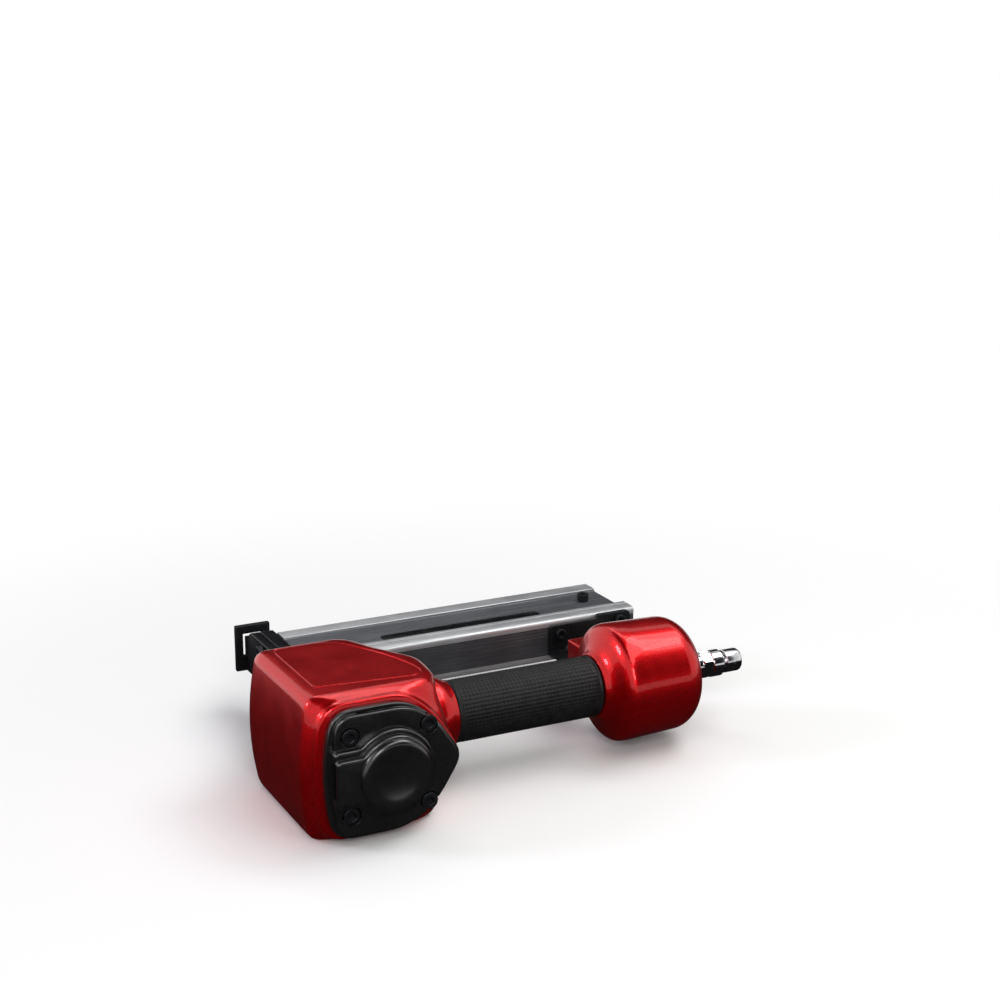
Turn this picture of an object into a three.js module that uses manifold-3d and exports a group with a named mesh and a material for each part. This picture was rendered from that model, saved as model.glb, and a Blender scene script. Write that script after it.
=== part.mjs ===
// Pneumatic brad nailer lying on its side, built as an assembly of its real pieces.
// Lengths are in millimetres. X runs along the handle from the head to the air plug, Y runs along the
// driving line from the cylinder cap to the nose, and Z is up. The origin is the point of the head's flat
// resting side below the crossing of the driving line and the handle's axis.
import * as THREE from 'three';
import { mergeVertices } from 'three/addons/utils/BufferGeometryUtils.js';
import Module from 'manifold-3d';

const wasm = await Module();
wasm.setup();

// Driving dimensions. Every other size follows these or is named with its own piece below.
const headHalf = 37;
const cylinderBore = 15;
const stroke = 55;
const tubeRadius = 13.5;
const gripRadius = 16.5;
const gripStart = 55;
const gripEnd = 139.5;
const tankRadius = 32;
const tankEnd = 196.8;
const noseTip = 143;
const magazineStart = 7;
const magazineEnd = 209;
const magazineFront = 72;
const magazineBack = 123;
const magazineHalf = 12.5;

// Clearances, the overrun of every cut, and the distance within which shared corners are welded.
const seat = 0.3;
const slip = 0.5;
const over = 1;
const weld = 1e-4;

// Facets of round pieces.
const facets = { large: 32, medium: 20, small: 16, screw: 10, ring: 20, ringSection: 6, wire: 5, curl: 8 };
const cornerSteps = 4;

// Head casting, from the cap's flange to the neck that carries the nose.
const head = {
  front: 47.5, back: 37.5, left: 36, right: 39, swell: 4.2, chamber: 23, ledge: 25.3, pocket: 16.4,
  neckStart: 30, neckEnd: 46, neckHalfX: 20, neckHalfZ: 17, bladeHole: 5.5,
};
const collar = { start: 18, root: 19, crest: 20.5, crestX: 42, rim: 19.5, rimX: 49, foot: 17 };
const tube = { bore: 10, boreStart: 12, end: 149, grooveX: 145, grooveWidth: 2.4, groove: 1.5 };
const boss = { start: 28, end: 64, top: 6, depth: 15.6, half: 9, earEnd: 41, earDepth: 25.4 };

// Outline of the head at stations along the driving line, as shares of the head's own sizes. The place
// along is a share of head.front before zero and of head.back after it; edge is the rounding of the two
// left corners, as a share of head.left.
const headStationShares = [
  { along: -1, left: 0.86, half: 0.93, flat: 0.28, bendX: 0.645, bendZ: 0.645, tip: 1.05, edge: 0.37 },
  { along: -0.8, left: 1, half: 1, flat: 0.74, bendX: 0.86, bendZ: 0.63, tip: 1.07, edge: 0.2 },
  { along: -0.55, left: 1, half: 1, flat: 0.93, bendX: 0.89, bendZ: 0.62, tip: 1.06, edge: 0.17 },
  { along: -0.2, left: 1, half: 1, flat: 0.97, bendX: 0.925, bendZ: 0.6, tip: 1, edge: 0.17 },
  { along: 0.1, left: 1, half: 1, flat: 0.81, bendX: 0.88, bendZ: 0.6, tip: 0.9, edge: 0.17 },
  { along: 0.45, left: 1, half: 1, flat: 0.61, bendX: 0.77, bendZ: 0.6, tip: 0.78, edge: 0.17 },
  { along: 0.75, left: 1, half: 1, flat: 0.49, bendX: 0.62, bendZ: 0.58, tip: 0.67, edge: 0.17 },
  { along: 0.93, left: 0.985, half: 0.985, flat: 0.39, bendX: 0.47, bendZ: 0.55, tip: 0.56, edge: 0.17 },
  { along: 1, left: 0.93, half: 0.93, flat: 0.24, bendX: 0.39, bendZ: 0.5, tip: 0.44, edge: 0.17 },
];
// The cap's rim and its raised platform in the same shares; the platform has less of the left side's swell.
const rimShares = { left: 0.79, half: 0.895, flat: 0.26, bendX: 0.63, bendZ: 0.62, tip: 1.03, edge: 0.32 };
const platformShares = {
  left: 0.76, half: 0.83, flat: 0.27, bendX: 0.61, bendZ: 0.6, tip: 0.97, edge: 0.24, swell: 0.35,
};
// The other corner roundings as shares of head.left, and the height of the left side's swell.
const headCornerShares = { swell: 0.4, flat: 0.27, bend: 0.3, tip: 0.22 };
const swellHeightShare = 0.34;

// Gasket, cylinder cap and the socket bolts of cap and nose.
const gasket = { thickness: 0.6, inset: 0.6, hole: 19 };
const cap = {
  rim: 3.3, platform: 5.8, inset: 0.3, rise: 15.3, ridge: 22, ridgeHeight: 3.4, ridgeRound: 1.2, dome: 18.4,
  domeRound: 2, cavity: 18, cavityHeight: 8.6, springRoom: 14.8, wall: 3, ductEnd: 29.6, ductHalf: 13,
  ductRise: 12.6, ductWall: 2.6, ductFloor: 4.7, slotFrom: -16, slotTo: 7, slotLow: 31.1, slotThin: 0.2,
  slotSag: 1, slotDeep: 1.6,
};
const capBolt = { pitchX: 20.4, pitchZ: 20.1, pocket: 5, pocketDeep: 3.3, length: 15 };
const noseBolt = { pitchX: 13.5, pitchZ: 8, length: 11 };
const bolt = { head: 4.25, height: 3.4, shank: 2.4, socket: 2.3, deep: 1.8 };

// Head valve, cylinder sleeve, piston, driver blade, bumper and the sealing rings.
const headValve = { radius: 17.5, hole: 7, length: 10.5, grooveAt: 4, grooveWidth: 2.2, groove: 1.5 };
const sleeve = {
  wall: 2.2, top: 42, flange: 22.6, flangeAt: 9.5, flangeWidth: 4.4, grooveWidth: 2.2, groove: 1.7,
};
const piston = { top: 40.5, length: 11, grooveWidth: 2.2, groove: 1.5, hub: 4.6, hubLength: 5, bladeSeat: 9 };
const blade = { thick: 1.4, wide: 5 };
const bumper = { radius: 16, hole: 5.4, gap: 0.8, length: 11.2 };
const sealThick = 0.7;

// Air tank, and the air plug screwed into its end.
const tank = {
  neck: 17, shoulderX: 152.5, endRadius: 31, rim: 13.6, wall: 2.6, boss: 10, bossDeep: 5,
  lugStart: 150.5, lugEnd: 166, lugOut: 46, lugHalf: 10, lugIn: 16,
};
// The tank's shoulder from the grip's end to its full radius, as shares of its length and of its rise.
const shoulderShares = [
  [0, 0], [0.19, 0.147], [0.323, 0.32], [0.425, 0.507], [0.551, 0.733], [0.693, 0.893], [0.835, 0.973], [1, 1],
];
const plug = {
  thread: 5.2, threadLength: 7, collar: 6.6, hexStart: 207.6, hexEnd: 214, hex: 7.9, ring: 7.4,
  ringEnd: 220.8, neck: 4.8, neckEnd: 223.2, barrel: 6.4, tip: 233, tipRadius: 5.4, bore: 3.4,
};

// Nose: the guide behind the driver blade, the front plate and their screws.
const nose = {
  flange: 4.7, flangeHalfX: 19, flangeHalfZ: 12.2, face: 0.8, rear: 6.7, plateFront: 6.5, shoulder: 130,
  tipHalf: 6, tipX: 5, guideHalf: 2.9, feedHalf: 1.1, feedBelow: 2.5, feedAbove: 0.6, tabStart: 68, tabEnd: 70,
  tabIn: 5.6, tabOut: 14, tabLow: 17.5, tabHigh: 9,
};
const plateScrew = {
  pitchZ: 8, near: 62, far: 108, head: 3.4, height: 3, shank: 1.6, length: 9, socket: 1.7, deep: 1.4,
};

// Magazine: fixed rail, sliding cover, end block, pusher with its rod and spring, and the latch.
const rail = {
  block: 12, bead: 3.6, wall: 3.5, hollow: 5.5, hollowHalf: 8, tongueHalf: 7.6, tonguePlay: 0.9,
  tongueGap: 1.6, channelHalf: 1.1, channelIn: 4.5, roomHalf: 4.2, roomIn: 13, room: 9,
};
const cover = { inset: 4, play: 0.4, plateHalf: 11, strip: 11, floor: 4.6, edge: 0.9 };
const endBlock = {
  insert: 21.4, play: 1.6, joint: 3, tail: 7.9, tailIn: 2, tailLow: 12.4, tailHigh: 4.6,
};
const blockScrew = {
  inset: 15, up: 15, head: 3.4, height: 4, shank: 1.9, length: 8, socket: 1.7, deep: 1.6,
};
const pusher = { start: 9, end: 19, tab: 8, tabEnd: 12, tabHalf: 0.75 };
const rod = { radius: 1.2, start: 8.6, seatDeep: 6 };
const pusherSpring = { inner: 1.6, outer: 3.1 };
const latch = {
  beyond: 4.5, up: 8, eye: 3.1, low: 10.8, thick: 4.4, arm: 10.1, armOut: 3.6, armThick: 3, tooth: 3,
  toothIn: 0.5, tail: 8, tailThick: 2.6, notchDeep: 0.9, notchPlay: 0.8,
};
const latchSpring = { out: 5.4, radius: 1.6, wire: 0.5, curlCount: 6 };
const pin = 1.3;

// Rear bracket between the magazine rail and the tank's lug.
const bracket = {
  start: 152.2, length: 52.8, thick: 2.7, low: 5, high: 10, step: 22, stepHigh: 12.2, webLow: 8, near: 5.8,
  nearZ: 5, far: 8, farZ: 7.6, boltInset: 3.5, boltZ: 1,
};
const bracketScrew = { head: 3.2, height: 3, shank: 1.9, length: 7.4, socket: 1.8, deep: 1.5 };

// Trigger, its lever, and the valve that they press.
const trigger = {
  x: 35, y: 21, boss: 3.3, outer: 4.9, inner: 3.4, topX: 44, topY: 21.8, endX: 64.5, endY: 24.4, padY: 34.6,
  dip: 2.4, tipX: 46, tipY: 38.2, thick: 2.2,
};
const lever = { x: 58, y: 27, eye: 2.4, hole: 1.1, length: 18, lift: 0.4, thick: 1.8, half: 2.9 };
const valve = {
  x: 50, top: 3, outer: 6, room: 4.4, floor: 3.4, lip: 1, lipHole: 2.6, stem: 2, head: 3.9, headLength: 3.6,
  grooveAt: 0.8, grooveWidth: 2, groove: 1.5, tip: 20.6, springInner: 2.9, springOuter: 3.6,
};

// Contact arm, pressed against the work before the tool fires, with its return spring.
const arm = {
  thick: 2.5, left: 4, right: 5, footStart: 143.9, footEnd: 147.2, footLeft: 10, footRight: 10.6,
  footHigh: 11.5, play: 0.7, crossStart: 58, crossEnd: 64, fingerX: 40, fingerHalf: 2.5, fingerZ: 2.4,
  fingerTip: 27.8, riser: 3, seatOut: 13.6, seatStart: 88, seatEnd: 90,
};
const armSpring = { x: 10.4, radius: 1.75, wire: 0.6, curlCount: 8 };
const headSpring = { radius: 13, wire: 1.5, curlCount: 3 };

// Finishes.
const finish = {
  paint: { color: 0xb3040e, roughness: 0.25, metalness: 0.35 },
  blackPaint: { color: 0x17181a, roughness: 0.45, metalness: 0.3 },
  blackSteel: { color: 0x1b1c1f, roughness: 0.5, metalness: 0.7 },
  rubber: { color: 0x1a1a1b, roughness: 0.85, metalness: 0 },
  aluminium: { color: 0xb9bcc0, roughness: 0.35, metalness: 0.9 },
  steel: { color: 0x9c9ea2, roughness: 0.35, metalness: 1 },
  chrome: { color: 0xe3e4e6, roughness: 0.1, metalness: 1 },
  seal: { color: 0x141414, roughness: 0.6, metalness: 0 },
  fibre: { color: 0x55504a, roughness: 0.9, metalness: 0 },
};

// The same triangles turned inside out.
function reversed(indices) {
  const turnedRound = [];
  for (let i = 0; i < indices.length; i += 3) turnedRound.push(indices[i], indices[i + 2], indices[i + 1]);
  return turnedRound;
}

// A closed three.js geometry becomes a solid for joining and cutting, whichever way its faces were wound.
function solid(geometry) {
  const bare = geometry.clone();
  bare.deleteAttribute('normal');
  bare.deleteAttribute('uv');
  const merged = mergeVertices(bare, weld);
  const whole = [];
  for (let i = 0; i < merged.index.count; i += 3) {
    const corners = [0, 1, 2].map((k) => merged.index.getX(i + k));
    if (new Set(corners).size === corners.length) whole.push(...corners);
  }
  const build = (indices) => new wasm.Manifold(new wasm.Mesh({
    numProp: 3,
    vertProperties: merged.attributes.position.array,
    triVerts: new Uint32Array(indices),
  }));
  const shape = build(whole);
  return shape.volume() < 0 ? build(reversed(whole)) : shape;
}

// The finished solid becomes a geometry again.
function geometryOf(shape) {
  const mesh = shape.getMesh();
  const geometry = new THREE.BufferGeometry();
  geometry.setAttribute('position', new THREE.BufferAttribute(new Float32Array(mesh.vertProperties), 3));
  geometry.setIndex(new THREE.BufferAttribute(new Uint32Array(mesh.triVerts), 1));
  const flat = geometry.toNonIndexed();
  flat.computeVertexNormals();
  return flat;
}

const joined = (...shapes) => shapes.reduce((all, shape) => all.add(shape));
const cut = (shape, ...tools) => tools.reduce((rest, tool) => rest.subtract(tool), shape);
const middle = (low, high) => (low + high) / 2;

// A block between two corners.
function block([x0, x1], [y0, y1], [z0, z1]) {
  const box = new THREE.BoxGeometry(x1 - x0, y1 - y0, z1 - z0);
  return solid(box.translate(middle(x0, x1), middle(y0, y1), middle(z0, z1)));
}

// Turns a geometry made round the Y axis so that it runs along the named axis.
function along(axis, geometry) {
  if (axis === 'x') geometry.rotateZ(-Math.PI / 2);
  if (axis === 'z') geometry.rotateX(Math.PI / 2);
  return geometry;
}

// A round bar along an axis, centred on the other two coordinates in the order X, Y, Z.
function bar(axis, radius, from, to, [a, b] = [0, 0], sides = facets.small) {
  const round = along(axis, new THREE.CylinderGeometry(radius, radius, to - from, sides));
  const centre = middle(from, to);
  const place = { x: [centre, a, b], y: [a, centre, b], z: [a, b, centre] }[axis];
  return solid(round.translate(...place));
}

// A turned solid from [place, radius] points along an axis, closing on the axis or on itself.
function turned(axis, points, sides = facets.large) {
  const profile = points.map(([place, radius]) => new THREE.Vector2(radius, place));
  if (points[0][1] !== 0) profile.push(profile[0].clone());
  return solid(along(axis, new THREE.LatheGeometry(profile, sides)));
}

// A plain ring between two radii and two places along an axis.
const ringBar = (axis, inner, outer, from, to, sides = facets.large) =>
  turned(axis, [[from, inner], [from, outer], [to, outer], [to, inner]], sides);

// Points of a quarter turn, each made from the sine and the cosine of its angle.
function quarter(steps, point) {
  return Array.from({ length: steps + 1 }, (_, i) => {
    const angle = (Math.PI / 2) * (i / steps);
    return point(Math.sin(angle), Math.cos(angle));
  });
}

const shapeOf = (points) => new THREE.Shape(points.map(([a, b]) => new THREE.Vector2(a, b)));

// An outline in X and Y as a plate between two heights.
function plateZ(points, low, high) {
  const plate = new THREE.ExtrudeGeometry(shapeOf(points), { depth: high - low, bevelEnabled: false });
  return solid(plate.translate(0, 0, low));
}

// An outline in X and Z as a plate between two places in Y.
function plateY(points, near, far) {
  const plate = new THREE.ExtrudeGeometry(shapeOf(points), { depth: far - near, bevelEnabled: false });
  return solid(plate.rotateX(Math.PI / 2).translate(0, far, 0));
}

// An outline in Y and Z carried along X.
function runX(shape, from, to) {
  const run = new THREE.ExtrudeGeometry(shape, { depth: to - from, bevelEnabled: false, curveSegments: 5 });
  const basis = new THREE.Matrix4().makeBasis(
    new THREE.Vector3(0, 1, 0), new THREE.Vector3(0, 0, 1), new THREE.Vector3(1, 0, 0));
  return solid(run.applyMatrix4(basis).translate(from, 0, 0));
}

// Rings of equal length, one for each station, skinned and capped into a closed body.
function loft(rings) {
  const count = rings[0].length;
  const faces = [];
  for (let s = 0; s + 1 < rings.length; s += 1) {
    for (let i = 0; i < count; i += 1) {
      const a = s * count + i;
      const b = s * count + (i + 1) % count;
      faces.push(a, b, b + count, a, b + count, a + count);
    }
  }
  const lid = (ring, first, flip) => {
    const flatRing = ring.map((p) => new THREE.Vector2(p.x, p.z));
    for (const [a, b, c] of THREE.ShapeUtils.triangulateShape(flatRing, [])) {
      faces.push(first + a, first + (flip ? c : b), first + (flip ? b : c));
    }
  };
  lid(rings[0], 0, false);
  lid(rings[rings.length - 1], (rings.length - 1) * count, true);
  const geometry = new THREE.BufferGeometry().setFromPoints(rings.flat());
  geometry.setIndex(faces);
  return solid(geometry);
}

// Corners [x, z, rounding] become a ring of points in which every corner is one short curve.
function roundedRing(corners, y) {
  return corners.flatMap(([x, z, rounding], i) => {
    const here = new THREE.Vector3(x, y, z);
    const towards = ([otherX, otherZ]) => {
      const there = new THREE.Vector3(otherX, y, otherZ);
      return here.clone().lerp(there, Math.min(rounding / here.distanceTo(there), 0.48));
    };
    const before = towards(corners[(i + corners.length - 1) % corners.length]);
    const after = towards(corners[(i + 1) % corners.length]);
    return new THREE.QuadraticBezierCurve3(before, here, after).getPoints(cornerSteps - 1);
  });
}

// The head's outline at one station, drawn in by an inset.
function headRing(shares, y, inset = 0) {
  const half = headHalf * shares.half - inset;
  const left = -head.left * shares.left + inset;
  const round = (share) => head.left * share;
  const swell = head.swell * (shares.swell ?? 1);
  const upper = [
    [left - swell, headHalf * swellHeightShare, round(headCornerShares.swell)],
    [left, half, round(shares.edge)],
    [head.right * shares.flat - inset, half, round(headCornerShares.flat)],
    [head.right * shares.bendX - inset, headHalf * shares.bendZ - inset, round(headCornerShares.bend)],
  ];
  const lower = upper.map(([x, z, rounding]) => [x, -z, rounding]).reverse();
  const tip = [head.right * shares.tip - inset, 0, round(headCornerShares.tip)];
  return roundedRing([...upper, tip, ...lower], y);
}

const signs = [[-1, 1], [1, 1], [-1, -1], [1, -1]];
const pattern = ({ pitchX, pitchZ }) => signs.map(([sx, sz]) => [sx * pitchX, sz * pitchZ]);
const boltHole = bolt.shank + seat;

// Planes along the driving line that several pieces share.
const gasketFront = -head.front - seat;
const gasketBack = gasketFront - gasket.thickness;
const capBack = gasketBack - seat;
const capRim = capBack - cap.rim;
const capPlatform = capBack - cap.platform;
const capTop = capBack - cap.rise;
const capDuct = capBack - cap.ductRise;
const capFloor = capTop + cap.wall;
const capPocket = capPlatform + capBolt.pocketDeep;
const sleeveTop = -sleeve.top;
const pistonTop = -piston.top;
const pistonEnd = pistonTop + piston.length;
const hubEnd = pistonEnd + piston.hubLength;
const valveEnd = sleeveTop - seat;
const valveTop = valveEnd - headValve.length;
const valveGroove = valveTop + headValve.grooveAt;
const pistonGroove = middle(pistonTop, pistonEnd) - piston.grooveWidth / 2;
const bumperStart = pistonEnd + stroke + bumper.gap;
const pocketEnd = bumperStart + bumper.length + seat;
const noseStart = head.neckEnd + seat;
const noseFlangeEnd = noseStart + nose.flange;
const boltSeat = noseFlangeEnd + seat;
const bladeTip = noseTip - stroke;

// Places that the handle, the magazine, the bracket and the trigger's valve share.
const tubeRoom = tubeRadius + seat;
const insideHalf = rail.tongueHalf + slip;
const coverFloor = magazineBack - cover.floor;
const blockEnd = magazineFront + rail.block;
const hollowStart = magazineFront + rail.wall;
const hollowEnd = hollowStart + rail.hollow;
const tongueEnd = coverFloor - rail.tonguePlay;
const channelStart = blockEnd + rail.channelIn;
const roomStart = blockEnd + rail.roomIn;
const roomEnd = roomStart + rail.room;
const coverFront = blockEnd + cover.play;
const insertFront = coverFront + endBlock.play;
const tailFront = magazineFront + endBlock.tailIn;
const armFront = magazineFront - latch.armOut;
const stripStart = magazineBack - cover.strip;
const coverEnd = magazineEnd - cover.inset;
const insertStart = coverEnd - endBlock.insert;
const railEnd = insertStart - rail.tongueGap;
const screwPlace = [coverEnd - blockScrew.inset, blockEnd + blockScrew.up];
const latchPivot = [magazineEnd + latch.beyond, magazineFront + latch.up];
const latchArmEnd = latchPivot[0] - latch.arm;
const tailEnd = latchPivot[0] + endBlock.tail;
const bracketEnd = bracket.start + bracket.length;
const rodLine = [middle(roomStart, roomEnd), 0];
const rodEnd = insertStart + rod.seatDeep;
const wallFace = magazineFront - seat;
const flangeFace = wallFace - bracket.thick;
const footFace = tank.lugOut + seat;
const latchLevels = [-latch.low, latch.thick - latch.low];
const latchRoom = latchPivot[1] + latch.eye + slip;
const valveBottom = boss.depth - seat;
const stemSeat = valveBottom - valve.floor - seat;
const stemTop = stemSeat - valve.headLength;
const stemGroove = stemTop + valve.grooveAt;
const armLow = magazineHalf + slip;

const railScrewPlaces = [
  [bracket.start + bracket.near, bracket.nearZ], [bracketEnd - bracket.far, bracket.farZ],
];
const lugBoltPlaces = [bracket.start + bracket.boltInset, tank.lugEnd - bracket.boltInset]
  .map((x) => [x, bracket.boltZ]);
const bracketHole = (at, from, to) => bar('y', bracketScrew.shank + seat, from, to, at, facets.screw);
const plateScrewPlaces = [plateScrew.near, plateScrew.far].flatMap((y) =>
  [1, -1].map((side) => [y, side * plateScrew.pitchZ]));
const plateHoles = (from, to) => plateScrewPlaces.map((at) =>
  bar('x', plateScrew.shank + seat, from - over, to + over, at, facets.screw));

// Red casting: head, neck, handle tube and trigger boss in one piece.
function headHandleCasting() {
  const place = ({ along: share }) => share * (share < 0 ? head.front : head.back);
  const shell = loft(headStationShares.map((shares) => headRing(shares, place(shares))));
  const neck = block([-head.neckHalfX, head.neckHalfX], [head.neckStart, head.neckEnd],
    [-head.neckHalfZ, head.neckHalfZ]);
  const handle = turned('x', [
    [collar.start, 0], [collar.start, collar.root], [collar.crestX, collar.crest],
    [collar.rimX, collar.rim], [gripStart - seat, collar.foot], [gripStart - seat, tubeRadius],
    [tube.end, tubeRadius], [tube.end, 0],
  ]);
  const room = block([boss.start, boss.end + over], [boss.depth, boss.earDepth + over],
    [-boss.half - slip, boss.half + slip]);
  const seatBlock = block([boss.start, boss.end], [boss.top, boss.depth], [-boss.half, boss.half]);
  const earIn = trigger.outer + slip;
  const ears = [[earIn, boss.half], [-boss.half, -earIn]].map((span) =>
    block([boss.start - over, boss.earEnd], [boss.top, boss.earDepth], span));
  const body = joined(cut(joined(shell, handle), room), neck, seatBlock, ...ears);
  const chamber = bar('y', head.chamber, -head.front - over, head.ledge, [0, 0], facets.large);
  const pocket = bar('y', head.pocket, head.ledge - over, pocketEnd, [0, 0], facets.large);
  const bladeHole = bar('y', head.bladeHole, pocketEnd - over, head.neckEnd + over);
  const airWay = bar('x', tube.bore, tube.boreStart, tube.end + over, [0, 0], facets.medium);
  const groove = ringBar('x', tubeRadius - tube.groove, tubeRadius + over, tube.grooveX,
    tube.grooveX + tube.grooveWidth);
  const valvePocket = bar('y', valve.outer + slip, 0, boss.depth + over, [valve.x, 0], facets.medium);
  const pinHole = bar('z', pin + seat, -boss.half - over, boss.half + over, [trigger.x, trigger.y],
    facets.screw);
  const capHoles = pattern(capBolt).map((at) =>
    bar('y', boltHole, -head.front - over, -head.front + capBolt.length, at, facets.screw));
  const noseHoles = pattern(noseBolt).map((at) =>
    bar('y', boltHole, boltSeat - noseBolt.length - seat, head.neckEnd + over, at, facets.screw));
  return cut(body, chamber, pocket, bladeHole, airWay, groove, valvePocket, pinHole, ...capHoles,
    ...noseHoles);
}

// Black cap: rim and platform, bolt pockets, stepped dome, and the exhaust duct that opens to the left.
function cylinderCap() {
  const plate = loft([
    headRing(rimShares, capBack, cap.inset), headRing(rimShares, capRim, cap.inset),
    headRing(platformShares, capRim, -cap.inset), headRing(platformShares, capPlatform),
  ]);
  const ridgeTop = capPlatform - cap.ridgeHeight;
  const dome = turned('y', [
    [capRim, 0], [capRim, cap.ridge], [ridgeTop, cap.ridge],
    [ridgeTop - cap.ridgeRound, cap.ridge - cap.ridgeRound], [ridgeTop - cap.ridgeRound, cap.dome],
    [capTop + cap.domeRound, cap.dome], [capTop, cap.dome - cap.domeRound], [capTop, 0],
  ]);
  const duct = block([-cap.ductEnd, 0], [capDuct, capRim], [-cap.ductHalf, cap.ductHalf]);
  const cavity = bar('y', cap.cavity, capBack - cap.cavityHeight, capBack + over, [0, 0], facets.large);
  const springRoom = bar('y', cap.springRoom, capFloor, capBack, [0, 0], facets.large);
  const inside = cap.ductHalf - cap.ductWall;
  const passage = block([-cap.ductEnd - over, 0], [capDuct + cap.ductWall, capBack - cap.ductFloor],
    [-inside, inside]);
  const slotMiddle = middle(cap.slotFrom, cap.slotTo);
  const slot = plateY([
    [cap.slotFrom, cap.slotLow], [slotMiddle, cap.slotLow + cap.slotThin], [cap.slotTo, cap.slotLow],
    [slotMiddle, cap.slotLow + cap.slotSag],
  ], capRim - over, capRim + cap.slotDeep);
  const holes = pattern(capBolt).flatMap((at) => [
    bar('y', capBolt.pocket, capTop - over, capPocket, at),
    bar('y', boltHole, capPlatform - over, capBack + over, at, facets.screw),
  ]);
  return cut(joined(plate, dome, duct), cavity, springRoom, passage, slot, ...holes);
}

function capGasket() {
  const sheet = loft([gasketBack, gasketFront].map((y) => headRing(rimShares, y, gasket.inset)));
  const hole = bar('y', gasket.hole, gasketBack - over, gasketFront + over, [0, 0], facets.large);
  const bolts = pattern(capBolt).map((at) =>
    bar('y', boltHole, gasketBack - over, gasketFront + over, at, facets.screw));
  return cut(sheet, hole, ...bolts);
}

// A socket head screw along -Z with the underside of its head at the origin.
function socketScrew({ head: radius, height, shank, length, socket, deep }) {
  const shaft = bar('z', shank, -length, height - deep, [0, 0], facets.screw);
  const top = bar('z', radius, 0, height);
  return cut(joined(shaft, top), bar('z', socket, height - deep, height + over, [0, 0], 6));
}

const headValvePiston = () => turned('y', [
  [valveTop, headValve.hole], [valveTop, headValve.radius], [valveGroove, headValve.radius],
  [valveGroove, headValve.radius - headValve.groove],
  [valveGroove + headValve.grooveWidth, headValve.radius - headValve.groove],
  [valveGroove + headValve.grooveWidth, headValve.radius], [valveEnd, headValve.radius],
  [valveEnd, headValve.hole],
]);

function cylinderSleeve() {
  const outer = cylinderBore + sleeve.wall;
  const [low, high] = [-1, 1].map((side) => sleeve.flangeAt + (side * sleeve.flangeWidth) / 2);
  const [from, to] = [-1, 1].map((side) => sleeve.flangeAt + (side * sleeve.grooveWidth) / 2);
  const floor = sleeve.flange - sleeve.groove;
  const end = head.ledge - seat;
  return turned('y', [
    [sleeveTop, cylinderBore], [sleeveTop, outer], [low, outer], [low, sleeve.flange],
    [from, sleeve.flange], [from, floor], [to, floor], [to, sleeve.flange], [high, sleeve.flange],
    [high, outer], [end, outer], [end, cylinderBore],
  ]);
}

function drivePiston() {
  const radius = cylinderBore - seat;
  const floor = radius - piston.groove;
  const grooveEnd = pistonGroove + piston.grooveWidth;
  const body = turned('y', [
    [pistonTop, 0], [pistonTop, radius], [pistonGroove, radius], [pistonGroove, floor], [grooveEnd, floor],
    [grooveEnd, radius], [pistonEnd, radius], [pistonEnd, piston.hub], [hubEnd, piston.hub], [hubEnd, 0],
  ]);
  const halfThick = blade.thick / 2 + seat;
  const halfWide = blade.wide / 2 + seat;
  return cut(body, block([-halfThick, halfThick], [hubEnd - piston.bladeSeat, hubEnd + over],
    [-halfWide, halfWide]));
}

const driverBlade = () => block([-blade.thick / 2, blade.thick / 2],
  [hubEnd - piston.bladeSeat + seat, bladeTip], [-blade.wide / 2, blade.wide / 2]);

const bumperRing = () => ringBar('y', bumper.hole, bumper.radius, bumperStart, bumperStart + bumper.length);

// A rubber ring that fills the room between a groove's floor and the wall that it seals, round Z.
function sealRing(floor, wall) {
  return solid(new THREE.TorusGeometry(middle(floor, wall), sealThick, facets.ringSection, facets.ring));
}

// Tank shell with its shoulder and rounded rim, the lug for the bracket and the threaded boss for the plug.
function airTank() {
  const foot = gripEnd + seat;
  const rise = tankRadius - tank.neck;
  const run = tank.shoulderX - foot;
  const shoulder = shoulderShares.map(([length, height]) => [foot + run * length, tank.neck + rise * height]);
  const rimX = tankEnd - tank.rim;
  const rim = quarter(7, (s, c) => [rimX + tank.rim * s, tank.endRadius - tank.rim * (1 - c)]);
  const outside = turned('x', [[foot, 0], ...shoulder, ...rim, [tankEnd, 0]]);
  const innerRim = tank.rim - tank.wall;
  const innerRadius = tank.endRadius - tank.wall;
  const innerArc = quarter(4, (s, c) => [rimX + innerRim * s, innerRadius - innerRim * (1 - c)]);
  const inside = turned('x', [[tube.end + over, 0], [tube.end + over, tubeRoom],
    [tank.shoulderX + tank.wall, tankRadius - tank.wall], ...innerArc, [tankEnd - tank.wall, 0]]);
  const neckBore = bar('x', tubeRoom, gripEnd - over, tube.end + over + over, [0, 0], facets.large);
  const lug = block([tank.lugStart, tank.lugEnd], [tank.lugIn, tank.lugOut], [-tank.lugHalf, tank.lugHalf]);
  const plugBoss = bar('x', tank.boss, tankEnd - tank.bossDeep, tankEnd - tank.wall / 2);
  const bore = bar('x', plug.thread + seat, tankEnd - tank.bossDeep - over, tankEnd + over);
  const lugHoles = lugBoltPlaces.map((at) =>
    bracketHole(at, tank.lugOut - bracketScrew.length, tank.lugOut + over));
  return cut(joined(cut(joined(outside, lug), inside, neckBore), plugBoss), bore, ...lugHoles);
}

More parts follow.
